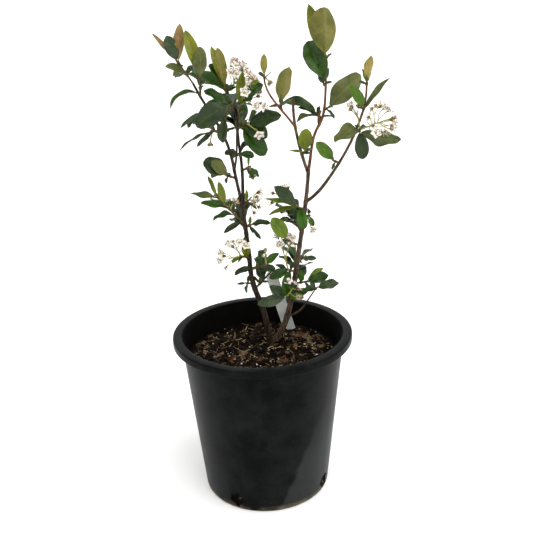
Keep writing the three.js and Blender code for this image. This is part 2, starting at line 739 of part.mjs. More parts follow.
// Where the flowers of a head sit and which way they look.
function flowerHeads(plan, root, random) {
  const axis = heading(plan.lean, plan.toward);
  const [side, across] = crossAxes(axis);
  const flowers = [];
  for (let k = 0; k < plan.count; k += 1) {
    const turn = radians(BLOSSOM.goldenAngle * k + 360 * random());
    const out = plan.spread * Math.sqrt((k + 0.5) / plan.count);
    const sag = BLOSSOM.dome * (out * out) / plan.spread + plan.spread * 0.35 * (random() - 0.5);
    const offset = side.clone().multiplyScalar(Math.cos(turn)).addScaledVector(across, Math.sin(turn));
    const head = root.clone().addScaledVector(axis, plan.rise - sag).addScaledVector(offset, out);
    const fork = root.clone().addScaledVector(axis, plan.rise * (0.76 - (0.5 * (k + 0.5)) / plan.count));
    const look = axis.clone().addScaledVector(offset, (0.9 * out) / plan.spread);
    look.y -= 0.45;
    flowers.push({ head, fork, look: look.normalize(), open: random() < plan.open });
  }
  return flowers;
}

// Sprays
// Fills in by the growth rule whatever a leaf's plan leaves open.
function settle(plan, spray, random) {
  const turn = random();
  const arch = random();
  const size = random();
  return {
    ...plan,
    tone: plan.tone ?? spray.tone,
    face: plan.face ?? 15 + 40 * turn,
    droop: plan.droop ?? 15 + 35 * arch,
    broad: plan.broad ?? LEAF.broad * (0.9 + 0.2 * size),
  };
}

// The leaves the rule sets behind a shoot, spaced round it by the golden angle.
function backLeaves(spray, random) {
  const leaves = [];
  for (let k = 0; k < spray.back; k += 1) {
    const turn = radians(BLOSSOM.goldenAngle * k + 360 * random());
    const lean = spray.lean + (spray.fan ?? 75) * Math.sin(turn);
    const toward = -35 - 35 * random();
    const length = 24 + 14 * random();
    leaves.push(leaf(lean, length, { at: (k + 0.7) / (spray.back + 0.4), toward, face: -20, tone: 'old' }));
  }
  return leaves;
}

function touches(solid, others) {
  return others.some((other) => !solid.intersect(other).isEmpty());
}

const grownLimbs = LIMBS.map((limb) => limb.grown);

// Builds one spray as one solid clear of every limb and of the sprays before it.
function spraySolid(spray, order, neighbours) {
  const random = seededRandom(1000 + 37 * order);
  const limb = limbs.get(spray.limb);
  const { point, radius } = limbPlace(limb, spray.at);
  const axis = heading(spray.lean, spray.toward);
  const foot = spray.at < 1 ? radius + SHOOT.collar : SHOOT.collar;
  const thick = Math.min(1.25, radius * 0.8);
  const along = (share) => point.clone().addScaledVector(axis, foot + share * spray.length);
  const tip = along(1.02);
  const stem = toSolid(loft([
    ringAround(point, axis, thick, SHOOT.sides),
    ringAround(along(0.5), axis, (thick + SHOOT.tipRadius) / 2, SHOOT.sides),
    ringAround(tip, axis, SHOOT.tipRadius, SHOOT.sides),
  ]));
  const pieces = [largestBody(stem.subtract(limb.grown))];
  const others = [...grownLimbs, ...neighbours];
  const plans = [...spray.leaves, ...backLeaves(spray, random)];
  for (const [rank, plan] of plans.entries()) {
    const settled = settle(plan, spray, random);
    const setBack = settled.at - (rank * SHOOT.spacing) / spray.length;
    const root = along(Math.max(Math.min(0.3, settled.at), setBack));
    const far = root.distanceTo(point) + settled.length > LEAF.reach;
    if (far || touches(leafSolid(settled, root, LEAF.margin), others)) {
      continue;
    }
    pieces.push(leafSolid(settled, root, 0));
  }
  for (const plan of spray.blooms ?? []) {
    const root = along(plan.at);
    const stalkTip = root.clone().addScaledVector(heading(plan.lean, plan.toward), plan.rise * 0.75);
    pieces.push(stalkSolid(root, stalkTip, BLOSSOM.stalk * 1.3));
    for (const flower of flowerHeads(plan, root, random)) {
      const stalk = stalkSolid(flower.fork, flower.head, BLOSSOM.stalk + LEAF.margin);
      if (touches(flowerSolid(flower, LEAF.margin), others) || touches(stalk, others)) {
        continue;
      }
      pieces.push(flowerSolid(flower, 0), stalkSolid(flower.fork, flower.head, BLOSSOM.stalk));
    }
  }
  return largestBody(wasm.Manifold.union(pieces));
}

// Pot, potting mix and label
function turned(profile, sides) {
  const points = profile.map(([radius, height]) => new THREE.Vector2(radius, height));
  return new THREE.LatheGeometry(points, sides).rotateX(Math.PI / 2);
}

const wallRise = POT.height - POT.rimThickness;

// The wall's outer radius at a height.
function wallRadius(height) {
  return POT.baseRadius + ((POT.wallTopRadius - POT.baseRadius) * height) / wallRise;
}

function potSolid() {
  const lip = POT.rimRadius - POT.wall;
  const profile = [
    [0, 0],
    [POT.baseRadius - POT.corner, 0],
    [wallRadius(POT.corner * 0.3) - POT.corner * 0.3, POT.corner * 0.3],
    [wallRadius(POT.corner), POT.corner],
    [POT.wallTopRadius, wallRise],
    [lip, wallRise],
    [lip, POT.height - POT.rimDrop],
    [POT.rimRadius, POT.height - POT.rimDrop],
    [POT.rimRadius, POT.height - 0.6],
    [POT.rimRadius - 0.6, POT.height],
    [POT.wallTopRadius - POT.wall, POT.height],
    [wallRadius(POT.floor) - POT.wall, POT.floor],
    [0, POT.floor],
  ];
  let solid = toSolid(turned(profile, POT.sides));
  for (let hole = 0; hole < DRAIN.count; hole += 1) {
    const cutter = new THREE.CylinderGeometry(0.5, 0.5, DRAIN.depth, DRAIN.sides);
    cutter.scale(DRAIN.width, 1, DRAIN.height);
    cutter.translate(0, POT.baseRadius, DRAIN.sill + DRAIN.height / 2);
    cutter.rotateZ(radians(DRAIN.firstAngle - 90 + (360 * hole) / DRAIN.count));
    solid = solid.subtract(toSolid(cutter));
  }
  return solid;
}

function soilGeometry() {
  const inner = (height) => wallRadius(height) - POT.wall - GAP * 1.5;
  const floor = POT.floor + GAP;
  const edge = SOIL.level - SOIL.edgeDip;
  const profile = [
    [0, floor],
    [inner(floor), floor],
    [inner(edge), edge],
    [(inner(edge) + SOIL.flatRadius) / 2, SOIL.level - SOIL.edgeDip * 0.3],
    [SOIL.flatRadius, SOIL.level],
    [0, SOIL.level],
  ];
  return turned(profile, SOIL.sides);
}

// The label leans out of the potting mix and is cut off level with it.
function labelSolid() {
  const strip = new THREE.BoxGeometry(LABEL.width, LABEL.thickness, LABEL.length);
  strip.translate(0, 0, LABEL.length / 2 - LABEL.width);
  strip.rotateY(radians(LABEL.lean));
  strip.translate(LABEL.x, LABEL.y, SOIL.level + GAP);
  const below = new THREE.BoxGeometry(LABEL.length, LABEL.length, LABEL.length);
  below.translate(LABEL.x, LABEL.y, SOIL.level + GAP - LABEL.length / 2);
  return toSolid(strip).subtract(toSolid(below));
}

// Assembly
const plant = new THREE.Group();
plant.name = 'potted_chokeberry';

function place(name, geometry, colour, roughness) {
  const material = new THREE.MeshStandardMaterial({ color: COLOURS[colour], roughness, metalness: 0 });
  const mesh = new THREE.Mesh(geometry, material);
  mesh.name = name;
  plant.add(mesh);
}

place('pot', toGeometry(potSolid()), 'pot', 0.5);
place('potting_mix', soilGeometry(), 'soil', 0.95);
place('plant_label', toGeometry(labelSolid()), 'label', 0.4);
for (const limb of LIMBS) {
  place(limb.name, toGeometry(limb.solid), limb.bark, 0.85);
}
const builtSprays = [];
SPRAYS.forEach((spray, order) => {
  const solid = spraySolid(spray, order, builtSprays);
  builtSprays.push(solid);
  place(spray.name, toGeometry(solid), spray.tone, 0.55);
});

export default plant;
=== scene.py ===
"""The look of a young potted chokeberry in flower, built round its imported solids.

Growth is worked out in millimetres, +Z up, with the viewer on the -Y side, and becomes metres in each mesh.
"""
import json
import math
from types import SimpleNamespace as Sizes

import bpy
import numpy as np
from mathutils import Matrix, Vector, noise

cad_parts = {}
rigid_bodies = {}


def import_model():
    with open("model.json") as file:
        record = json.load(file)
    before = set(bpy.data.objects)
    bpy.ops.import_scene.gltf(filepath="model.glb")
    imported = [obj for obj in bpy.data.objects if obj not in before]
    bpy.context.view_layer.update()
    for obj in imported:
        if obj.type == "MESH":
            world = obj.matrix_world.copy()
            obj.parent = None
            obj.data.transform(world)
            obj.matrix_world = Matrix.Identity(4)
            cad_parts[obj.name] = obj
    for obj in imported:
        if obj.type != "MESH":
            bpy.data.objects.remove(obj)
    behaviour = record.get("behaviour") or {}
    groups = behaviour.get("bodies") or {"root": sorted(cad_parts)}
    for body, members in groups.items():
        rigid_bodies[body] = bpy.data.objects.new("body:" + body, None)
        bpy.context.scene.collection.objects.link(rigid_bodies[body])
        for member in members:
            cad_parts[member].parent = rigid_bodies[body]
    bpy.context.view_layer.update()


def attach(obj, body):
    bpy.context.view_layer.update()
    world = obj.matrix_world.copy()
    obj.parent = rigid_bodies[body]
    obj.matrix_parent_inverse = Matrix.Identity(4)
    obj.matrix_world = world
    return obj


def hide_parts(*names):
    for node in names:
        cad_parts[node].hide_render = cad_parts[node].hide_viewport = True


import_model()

MM = 0.001

# Driving dimensions, in millimetres, degrees, counts and shares of a whole.
# Two numbers in round brackets are the ends that a value varies between; square ones list values in turn.
GAP = 0.3
POT = Sizes(
    height=190, rim_radius=100, rim_drop=8, rim_thickness=2, wall_top_radius=91, base_radius=72.7,
    wall=1.8, floor=2.6, corner=3, sides=192, out_of_round=0.003,
)
DRAIN = Sizes(
    count=4, first_angle=-118, width=14, height=15, sill=4.5, depth=14, sides=26, ragged=0.3, torn=0.16,
)
SCRAP = Sizes(
    count=8, rise=(0.1, 0.8), spread=0.8, depth=(0.9, 1.9), length=(0.8, 2.8), width=(0.4, 0.9),
    thickness=(0.4, 0.7), tilt=50,
)
SOIL = Sizes(
    level=163, edge_dip=3, edge_width=8, flat_radius=79, lumps=2.2, lump_size=16,
    rings=64, side_rings=24, sides=200,
)
CHIP = Sizes(
    count=1100, length=(1, 8.5), slimness=(0.16, 0.56), thickness=(0.4, 1.3), uneven=(0.7, 1.2),
    tilt=22, patch=22, patchy=0.5, kinds=[0.34, 0.7, 0.88], lift=0.2,
)
GRAIN = Sizes(
    count=280, radius=(0.4, 1.1), squash=(0.7, 1.1), uneven=(0.78, 1.22), sides=7,
    kinds=[0.6, 0.86], lift=0.4,
)
STRAW = Sizes(count=230, length=(4, 20), radius=(0.18, 0.58), tilt=8, bow=0.4, lift=0.7, inset=8)
LABEL = Sizes(
    x=33, y=60, lean=-16, length=92, width=14, thickness=0.6, bow=2.5, dish=0.25, sunk=6, blunt=0.4,
)
LIMB = Sizes(sides=18, ring_spacing=1.4, flare=0.38, flare_height=14, path_steps=40, sunk=4)
BARK = Sizes(
    ridge=0.028, swell=0.03, ring=0.02, pore=0.07, pores_per_mm=0.3, pore_length=0.9, pore_width=(0.3, 0.55),
    shoot_knuckle=0.13, bough_knuckle=0.18, knuckle_length=2.6,
)
SHOOT = Sizes(
    sides=8, collar=1.6, thickest=1.25, slimness=0.8, tip_radius=0.75, spacing=1.1, lowest_leaf=0.3,
    overrun=1.02, ring_spacing=1.5, knuckle=0.28, knuckle_length=1.6,
    leaf_bud=[2.6, 0.75], tip_bud=[3.6, 0.95],
)
LEAF = Sizes(
    petiole=0.07, stalk=0.6, thickness=0.34, rib=2.2, broad=0.44, uneven=(0.9, 1.1), face=(15, 55),
    droop=(15, 50), reach=92, vein=5.2, tooth=2.2, tooth_lead=0.72, tooth_depth=0.05, notch=0.98,
    blade=(0.02, 0.995), point=0.92, pointed=0.45, tip=0.994, tip_half=0.3, rib_half=0.08,
    fold=(8.8, 39.6), twist=(-22, 22), waves=(1.1, 2.1), wave=(0.09, 0.39), out_of_step=0.3,
    curl=(-0.064, 0.096), sickle=(-0.07, 0.07), pucker=0.012, vein_slant=0.9,
)
BACK_LEAF = Sizes(toward=(-35, -70), length=(24, 38), face=-20)
SMALL_LEAF = Sizes(fan=95, nod=50, length=(8, 14), at=(0.1, 0.85), old_share=0.6)
GOLDEN_ANGLE = 137.5
BLOSSOM = Sizes(
    stalk=0.46, stem=0.75, dome=0.4, unlevel=0.35, fork=(0.76, 0.26), outlook=0.9, front=0.45,
    fuller=1.2, crowd=0.03,
)
FLOWER = Sizes(
    petals=5, petal=5.9, petal_half=2.3, claw=0.8, petal_thickness=0.14, cup=(0.5, 2.4),
    uneven=(-0.35, 0.35), askew=(-7, 7), sepal_thickness=0.2, bud=(1.275, 1.955), bud_cup=0.8,
)
STAMEN = Sizes(
    askew=12, root=[0.9, 0.4], height=(2.2, 4), anther=[-0.3, 0.1, 0.5], anther_radii=[0.25, 0.55, 0.25],
)
# A fresh flower, and a spent one that has shed most of its petals. Slots number each part's finishes.
FRESH = Sizes(
    petals_left=1, stamens=18, reach=(2, 3.5), filament=[0.12, 0.1], anther_slot=1, disc_slot=1,
    cup=1, cup_slot=0,
)
SPENT = Sizes(
    petals_left=0.16, stamens=12, reach=(2, 5.2), filament=[0.16, 0.14], anther_slot=2, disc_slot=2,
    cup=1.25, cup_slot=2,
)

# The camera's place and aim: millimetres and degrees
CAMERA = dict(place=(0, -757.3, 539.7), pitch=19.888, yaw=0.528, roll=-1.839, lens=50, sensor=36)

# Each kind of thing draws its chances from a seed of its own, with a step for each spray and leaf.
SEED = dict(
    spray=(1000, 37), small=(9000, 53), leaf=(11, 7919, 97), flower=5000, limb=131,
    drains=77, chips=501, grains=502, straws=503, scraps=504,
)


# Plans of limbs, sprays, leaves and blossom
def limb_plan(name, length, radius, tip_radius, leans, toward, bark="old_bark", **rooting):
    """A stem with its foot on the mix, or a bough with its parent and its place there."""
    shape = dict(length=length, radius=radius, tip_radius=tip_radius, leans=leans, toward=toward)
    return dict(name=name, bark=bark, **shape, **rooting)


def spray_plan(
    name, limb, at, lean, toward, length, tone="old", back=0, small=2, fan=75, leaves=(), blooms=(),
):
    """A shoot's place on its limb and the way it lies, with its leaves and heads of blossom.

    Back is how many leaves the growth rule sets behind it, spread over a fan of so many degrees each way.
    Small is how many small ones it sets round the shoot.
    """
    shoot = dict(name=name, limb=limb, at=at, lean=lean, toward=toward, length=length)
    return dict(**shoot, tone=tone, back=back, small=small, fan=fan, leaves=leaves, blooms=blooms)


def leaf(lean, length, at=1, toward=0, tone=None, face=None, droop=None, broad=None):
    """One leaf of a spray: the way its tip lies, its length, and what differs from the rule."""
    return dict(
        lean=lean, length=length, at=at, toward=toward, tone=tone, face=face, droop=droop, broad=broad,
    )


def bloom(lean, rise, spread, count, at=1, toward=10, open=0.8):
    """One head of blossom: the way its stalk rises, how far, and how wide the flowers spread."""
    return dict(lean=lean, rise=rise, spread=spread, count=count, at=at, toward=toward, open=open)


# Stems and boughs. Leans are degrees to the right of upright, read evenly from foot to tip.
# Toward is degrees leaned to the viewer. A bough springs from its parent at a share of its length.
LIMBS = [
    limb_plan(
        "left_stem", foot=[9.4, 17], length=165, radius=3.6, tip_radius=2.1,
        leans=[-5, -12, -20, -2, -5, -6], toward=4,
    ),
    limb_plan(
        "right_stem", foot=[13.4, 27], length=212, radius=3.6, tip_radius=1.9,
        leans=[36, 14, 9, 8, 9, 6, 4], toward=4.5,
    ),
    limb_plan(
        "left_leader", parent="left_stem", at=1, length=125, radius=1.9, tip_radius=1.1,
        leans=[1, 1, -7, -1, -30], toward=-17,
    ),
    limb_plan(
        "left_outer_bough", parent="left_stem", at=0.98, length=165, radius=1.9, tip_radius=1.1,
        leans=[-5, -9, -7, -20, -29, -21], toward=22,
    ),
    limb_plan(
        "left_inner_bough", parent="left_outer_bough", at=0.36, length=53, radius=1.1, tip_radius=0.9,
        leans=[14, 1, 11], toward=-8,
    ),
    limb_plan(
        "right_leader", parent="right_stem", at=1, length=92, radius=1.7, tip_radius=1.2, bark="young_bark",
        leans=[12, 8, 15, 34, 13, 4, 6], toward=-16,
    ),
    limb_plan(
        "right_side_bough", parent="right_stem", at=0.83, length=154, radius=1.9, tip_radius=1,
        leans=[49, 31, 27, 20, 13, -5], toward=24,
    ),
    limb_plan(
        "right_inner_bough", parent="right_stem", at=0.98, length=81, radius=1.7, tip_radius=1.4,
        leans=[-19, -15, -8, 1], toward=5,
    ),
    limb_plan(
        "cross_bough", parent="right_inner_bough", at=0.64, length=71,
        radius=1.3, tip_radius=0.9, bark="young_bark",
        leans=[-33, -38, -33, -10], toward=32,
    ),
    limb_plan(
        "cut_stub", parent="right_leader", at=0.53, length=16, radius=1.5, tip_radius=1.4,
        leans=[-12, 20], toward=14,
    ),
    limb_plan(
        "low_side_bough", parent="right_stem", at=0.17, length=60, radius=1.2, tip_radius=0.8,
        leans=[64, 24, 24], toward=30,
    ),
]

# Sprays of foliage, each on one short shoot that leaves its limb at a share of the limb's length.
SPRAYS = [
    spray_plan(
        "left_tip_spray", "left_outer_bough", at=1, lean=-33, toward=4, length=23, tone="mid", back=1,
        leaves=[
            leaf(-43, 36, toward=-22, tone="bronze", broad=0.15),
            leaf(-21, 25, toward=-8, tone="old", face=60, broad=0.52),
            leaf(7, 35, toward=9, tone="bronze", face=-70, broad=0.32),
            leaf(-66, 21, at=0.55, toward=25, tone="olive", face=60, broad=0.5),
        ],
    ),
    spray_plan(
        "left_tip_lower_spray", "left_outer_bough", at=0.91, lean=6,
        toward=34, length=20, tone="mid", back=1,
        leaves=[
            leaf(3, 27, toward=4, tone="olive", face=50, broad=0.52),
            leaf(-16, 45, toward=-14, tone="young", face=44, broad=0.28),
            leaf(-112, 31, at=0, toward=12, droop=110, tone="old", broad=0.26),
        ],
    ),
    spray_plan(
        "left_hanging_spray", "left_outer_bough", at=0.64, lean=-70, toward=38, length=9, back=1,
        leaves=[
            leaf(-118, 37, face=18, broad=0.13),
            leaf(-130, 22, toward=15, broad=0.28),
        ],
        blooms=[bloom(-165, 14, 3, 2, open=0)],
    ),
    spray_plan(
        "left_front_spray", "left_outer_bough", at=0.68, lean=28, toward=45, length=39, back=2, small=5,
        leaves=[
            leaf(-120, 39, toward=8, broad=0.52, face=58, droop=44),
            leaf(187, 24, at=0.42, toward=4, broad=0.52, face=72),
            leaf(-40, 12, toward=10, broad=0.6, face=60),
        ],
    ),
    spray_plan(
        "left_arching_spray", "left_outer_bough", at=0.77, lean=-60, toward=34, length=7,
        leaves=[
            leaf(-130, 22, broad=0.4, face=45),
            leaf(-118, 28, toward=15, droop=75, broad=0.2),
            leaf(110, 20, toward=30, broad=0.25),
        ],
    ),
    spray_plan(
        "left_round_leaf_spray", "left_outer_bough", at=0.3, lean=-65, toward=22, length=8, back=1,
        leaves=[
            leaf(-54, 27, broad=0.76, face=60, droop=25),
            leaf(-42, 23, toward=12, tone="olive", broad=0.6, face=66, droop=20),
        ],
    ),
    spray_plan(
        "inner_top_spray", "left_inner_bough", at=1, lean=14, toward=-4, length=16, back=2, small=5,
        leaves=[
            leaf(6, 37, at=0.6, toward=18, tone="bright", face=40, broad=0.32),
            leaf(10, 23, toward=-6, face=40, broad=0.26),
            leaf(40, 28, toward=-8, tone="bright", face=30, broad=0.3),
            leaf(50, 31, toward=20, face=50, broad=0.5),
        ],
        blooms=[bloom(54, 22, 17, 5, at=0.7, toward=22, open=0.25)],
    ),
    spray_plan(
        "inner_right_spray", "left_leader", at=0.72, lean=62, toward=34, length=12, back=2, small=5,
        leaves=[
            leaf(36, 28, tone="olive", broad=0.24, face=40),
            leaf(76, 38, toward=12, broad=0.5, face=62),
            leaf(122, 26, toward=8, broad=0.66, face=62),
            leaf(142, 39, at=0.5, broad=0.56, face=66, toward=12),
        ],
        blooms=[bloom(112, 32, 2, 1, toward=66, open=1)],
    ),
    spray_plan(
        "leader_top_spray", "left_leader", at=1, lean=-25, toward=5, length=8, tone="mid", back=1, small=5,
        leaves=[
            leaf(-8, 44, toward=14, tone="young", face=-60, broad=0.3),
            leaf(-18, 49, toward=-22, tone="young", face=60, broad=0.24),
            leaf(-33, 33, toward=-18, tone="old", face=40),
            leaf(-63, 45, toward=14, tone="old", face=52, broad=0.36),
        ],
        blooms=[bloom(49, 30, 20, 16, at=0.6, toward=18, open=0.6)],
    ),
    spray_plan(
        "leader_left_spray", "left_leader", at=0.9, lean=-60, toward=38, length=6, back=2, small=5,
        leaves=[
            leaf(-104, 22, toward=4, tone="mid", broad=0.22, face=40),
            leaf(-58, 30, toward=2, broad=0.44, face=50),
            leaf(-84, 26, toward=16, broad=0.46, face=58),
            leaf(-125, 10, at=0.6, toward=20),
            leaf(-120, 19, toward=-12, broad=0.3, face=10),
        ],
    ),
    spray_plan(
        "leader_mid_spray", "left_leader", at=0.48, lean=-20, toward=58, length=6, back=1,
        leaves=[
            leaf(-86, 15, face=50, broad=0.6),
            leaf(100, 16, face=50, broad=0.6),
        ],
    ),
    spray_plan(
        "leader_right_spray", "left_leader", at=0.36, lean=60, toward=15, length=6,
        leaves=[
            leaf(138, 15, face=50),
            leaf(4, 14, tone="bright", broad=0.2),
        ],
        blooms=[bloom(164, 12, 4, 2, open=0)],
    ),
    spray_plan(
        "leader_foot_spray", "left_leader", at=0.06, lean=40, toward=22, length=10, tone="mid",
        leaves=[leaf(2, 14, at=0.3, tone="bright", broad=0.3)],
        blooms=[bloom(92, 11, 14, 5, at=0.7, open=0.15)],
    ),
    spray_plan(
        "left_side_spray", "left_stem", at=0.92, lean=-37, toward=24, length=46, tone="mid", back=2,
        leaves=[
            leaf(-21, 24, tone="bright", broad=0.24, toward=-8),
            leaf(-10, 26, at=0.75, toward=8, tone="bright", broad=0.34, face=50),
            leaf(-77, 29, tone="olive", broad=0.28, face=40),
            leaf(-75, 31, at=0.6, broad=0.34, face=30),
            leaf(-103, 24, at=0.4, tone="old", droop=60, broad=0.4),
            leaf(-113, 24, at=0.02, tone="old", toward=24, broad=0.34, face=44),
        ],
        blooms=[bloom(20, 10, 6, 3, at=0.5, open=0.2)],
    ),
    spray_plan(
        "left_stem_right_spray", "left_stem", at=0.9, lean=62, toward=12, length=3,
        leaves=[
            leaf(88, 21, broad=0.42, face=45, droop=50),
            leaf(5, 10, tone="bright"),
            leaf(143, 20, broad=0.26),
        ],
    ),
    spray_plan(
        "left_bloom_spray", "left_stem", at=0.68, lean=-50, toward=48, length=13, tone="mid",
        leaves=[
            leaf(-4, 30, at=0.05, tone="bright", broad=0.34, toward=24, face=62),
            leaf(-125, 13, tone="bright", face=40),
        ],
        blooms=[
            bloom(-26, 16, 14, 4, open=0.6),
            bloom(-98, 21, 10, 3, open=0.6),
        ],
    ),
    spray_plan(
        "between_spray", "left_stem", at=0.6, lean=58, toward=40, length=23, back=2,
        leaves=[
            leaf(90, 24, at=0.1, face=52, toward=12, broad=0.46),
            leaf(142, 17, at=0.15, face=56, broad=0.6),
            leaf(50, 20, face=48, broad=0.46),
            leaf(20, 9, at=0.25, tone="mid"),
            leaf(-104, 22, at=0.02, droop=60, toward=16, broad=0.44, face=40),
        ],
        blooms=[bloom(-6, 17, 7, 3, open=0)],
    ),
    spray_plan(
        "left_low_spray", "left_stem", at=0.45, lean=45, toward=-6, length=20, tone="mid", back=1,
        leaves=[
            leaf(8, 11, at=0.15, tone="bright"),
            leaf(90, 8, at=0.35, tone="old"),
            leaf(108, 15, tone="old", face=50),
        ],
    ),
    spray_plan(
        "left_low_leaf", "left_stem", at=0.49, lean=-78, toward=8, length=3,
        leaves=[leaf(-94, 11, broad=0.3)],
    ),
    spray_plan(
        "right_low_front_spray", "right_stem", at=0.285, lean=-28, toward=62, length=24, tone="mid", back=1,
        leaves=[
            leaf(-98, 34, toward=14, tone="old", broad=0.38, face=62),
            leaf(-56, 23, tone="old", face=56, broad=0.5),
            leaf(42, 17, tone="old", face=54, toward=-6, broad=0.5),
            leaf(-8, 25, broad=0.4, face=66, toward=8),
            leaf(96, 18, face=56, broad=0.6),
            leaf(66, 24, at=0.6, face=60, broad=0.46, toward=10),
        ],
        blooms=[bloom(34, 18, 15, 3, open=0.35, toward=10)],
    ),
    spray_plan(
        "right_low_side_spray", "right_stem", at=0.37, lean=62, toward=42, length=16, back=2,
        leaves=[
            leaf(73, 25, toward=6, broad=0.54, face=54),
            leaf(65, 28, tone="bright", broad=0.26, toward=-36),
            leaf(0, 16, at=0.6, tone="mid", toward=10),
            leaf(150, 10, face=60),
        ],
    ),
    spray_plan(
        "low_side_spray", "low_side_bough", at=1, lean=30, toward=20, length=4,
        leaves=[
            leaf(78, 25, droop=66, broad=0.46, face=52),
            leaf(-98, 13, face=54, broad=0.6),
        ],
    ),
    spray_plan(
        "right_mid_left_spray", "right_stem", at=0.44, lean=-60, toward=36, length=8,
        leaves=[
            leaf(-66, 16, broad=0.36),
            leaf(-104, 25, face=58, toward=24, broad=0.5),
            leaf(-152, 20, at=0.7, face=62, toward=12, broad=0.56),
            leaf(25, 10, face=50, toward=15),
        ],
        blooms=[bloom(-13, 41, 15, 5, open=0.75, toward=4)],
    ),
    spray_plan(
        "right_mid_right_leaf", "right_stem", at=0.51, lean=76, toward=6, length=2,
        leaves=[leaf(92, 15, broad=0.42, face=42)],
    ),
    spray_plan(
        "right_bloom_spray", "right_stem", at=0.59, lean=-47, toward=46, length=28, tone="mid",
        leaves=[
            leaf(-31, 29, at=0.9, tone="bright", broad=0.6, face=52),
            leaf(-80, 11, at=0.6, tone="old", face=50),
        ],
    ),
    spray_plan(
        "right_stem_right_spray", "right_stem", at=0.75, lean=70, toward=22, length=2, tone="mid",
        leaves=[leaf(158, 13, face=62, broad=0.5)],
        blooms=[bloom(172, 15, 2, 1, open=1)],
    ),
    spray_plan(
        "right_upper_spray", "right_stem", at=0.79, lean=-52, toward=50, length=14,
        leaves=[
            leaf(-44, 35, toward=12, broad=0.42, face=46),
            leaf(-74, 37, tone="bright", broad=0.16),
            leaf(-104, 33, tone="bright", broad=0.22, droop=60),
            leaf(170, 24, at=0.9, tone="mid", broad=0.62, face=62, toward=28),
        ],
        blooms=[bloom(-40, 28, 19, 4, open=0.4, toward=-14)],
    ),
    spray_plan(
        "inner_light_spray", "right_inner_bough", at=0.26, lean=20, toward=52, length=5, tone="bright",
        leaves=[
            leaf(6, 24, broad=0.64, face=62),
            leaf(-80, 15, broad=0.26),
        ],
    ),
    spray_plan(
        "cross_tip_spray", "cross_bough", at=1, lean=0, toward=5, length=3, tone="young",
        leaves=[leaf(1, 21, toward=6, broad=0.34, face=-50)],
        blooms=[bloom(138, 9, 3, 2, open=0)],
    ),
    spray_plan(
        "cross_olive_spray", "cross_bough", at=0.38, lean=-14, toward=32, length=7, tone="olive",
        leaves=[
            leaf(14, 37, toward=6, broad=0.46, face=-40),
            leaf(-96, 12, toward=10, broad=0.3),
        ],
    ),
    spray_plan(
        "right_leader_top_spray", "right_leader", at=1, lean=1, toward=-8, length=26, tone="young",
        leaves=[
            leaf(-4, 49, toward=6, tone="olive", broad=0.66, face=-60, droop=10),
            leaf(-17, 59, toward=-19, tone="young", broad=0.29, face=76, droop=-10),
            leaf(-23, 49, at=0, toward=-26, tone="old", broad=0.56, face=70, droop=20),
        ],
    ),
    spray_plan(
        "right_leader_right_spray", "right_leader", at=0.7, lean=52, toward=16, length=2,
        leaves=[leaf(47, 47, tone="olive", broad=0.5, droop=70, face=60)],
    ),
    spray_plan(
        "right_leader_left_spray", "right_leader", at=0.6, lean=-42, toward=-34, length=5, back=1,
        leaves=[
            leaf(-70, 38, toward=-6, broad=0.4, droop=85, face=45),
            leaf(-66, 24, toward=18, broad=0.3),
            leaf(84, 17, at=0.05, toward=36, broad=0.26, face=20),
        ],
    ),
    spray_plan(
        "side_inner_spray", "right_side_bough", at=0.41, lean=-62, toward=22, length=4, tone="mid",
        leaves=[leaf(-42, 26, tone="fresh", broad=0.52, face=62)],
    ),
    spray_plan(
        "right_tip_spray", "right_side_bough", at=1, lean=0, toward=0, length=3, tone="young",
        leaves=[
            leaf(7, 27, at=0.2, toward=8, broad=0.35, face=-40),
            leaf(-18, 14, toward=-8, tone="bright", broad=0.26),
        ],
    ),
    spray_plan(
        "right_tip_lower_spray", "right_side_bough", at=0.805, lean=10, toward=44, length=8, tone="young",
        leaves=[
            leaf(37, 40, at=0.3, toward=12, tone="olive", broad=0.21, face=44),
            leaf(-32, 26, tone="fresh", broad=0.44, face=50),
        ],
    ),
    spray_plan(
        "right_bloom_tip_spray", "right_side_bough", at=0.65, lean=40, toward=42, length=7,
        leaves=[
            leaf(-112, 28, toward=14, tone="olive", broad=0.62, face=46, droop=90),
            leaf(172, 29, broad=0.52, face=68, droop=30),
            leaf(103, 43, tone="olive", broad=0.42, droop=-60, face=52),
        ],
        blooms=[
            bloom(-10, 25, 8, 3, toward=8, open=0.3),
            bloom(65, 32, 25, 10, toward=26, open=0.2),
        ],
    ),
    spray_plan("back_left_spray", "left_stem", at=0.86, lean=-32, toward=-62, length=34, back=5),
    spray_plan("back_low_spray", "right_stem", at=0.4, lean=8, toward=-60, length=32, back=5),
    spray_plan("back_mid_spray", "right_stem", at=0.66, lean=-32, toward=-60, length=34, back=6),
    spray_plan("back_top_spray", "left_leader", at=0.66, lean=-16, toward=-60, length=32, back=6),
    spray_plan("back_right_spray", "right_leader", at=0.96, lean=-20, toward=-66, length=30, back=4, fan=28),
]


# Growth
WORD = 0xFFFFFFFF
UP = np.array([0, 0, 1.0])


def seeded_random(seed):
    """A repeatable run of numbers between 0 and 1."""
    state = seed & WORD

    def draw():
        nonlocal state
        state = (state + 0x6D2B79F5) & WORD
        mixed = ((state ^ (state >> 15)) * (state | 1)) & WORD
        mixed ^= (mixed + (mixed ^ (mixed >> 7)) * (mixed | 61)) & WORD
        return (mixed ^ (mixed >> 14)) / (WORD + 1)

    return draw


def between(low, high, share):
    """The value at a share of the way from low to high."""
    return low + (high - low) * share


def unit(vector):
    return vector / np.linalg.norm(vector)


def outward(turn):
    """The level direction at an angle."""
    return np.array([math.cos(turn), math.sin(turn), 0])


def turn_upright(points, turn):
    """Points turned by an angle about the upright axis."""
    ahead, aside = math.cos(turn), math.sin(turn)
    return points @ np.array([[ahead, aside, 0], [-aside, ahead, 0], [0, 0, 1]])


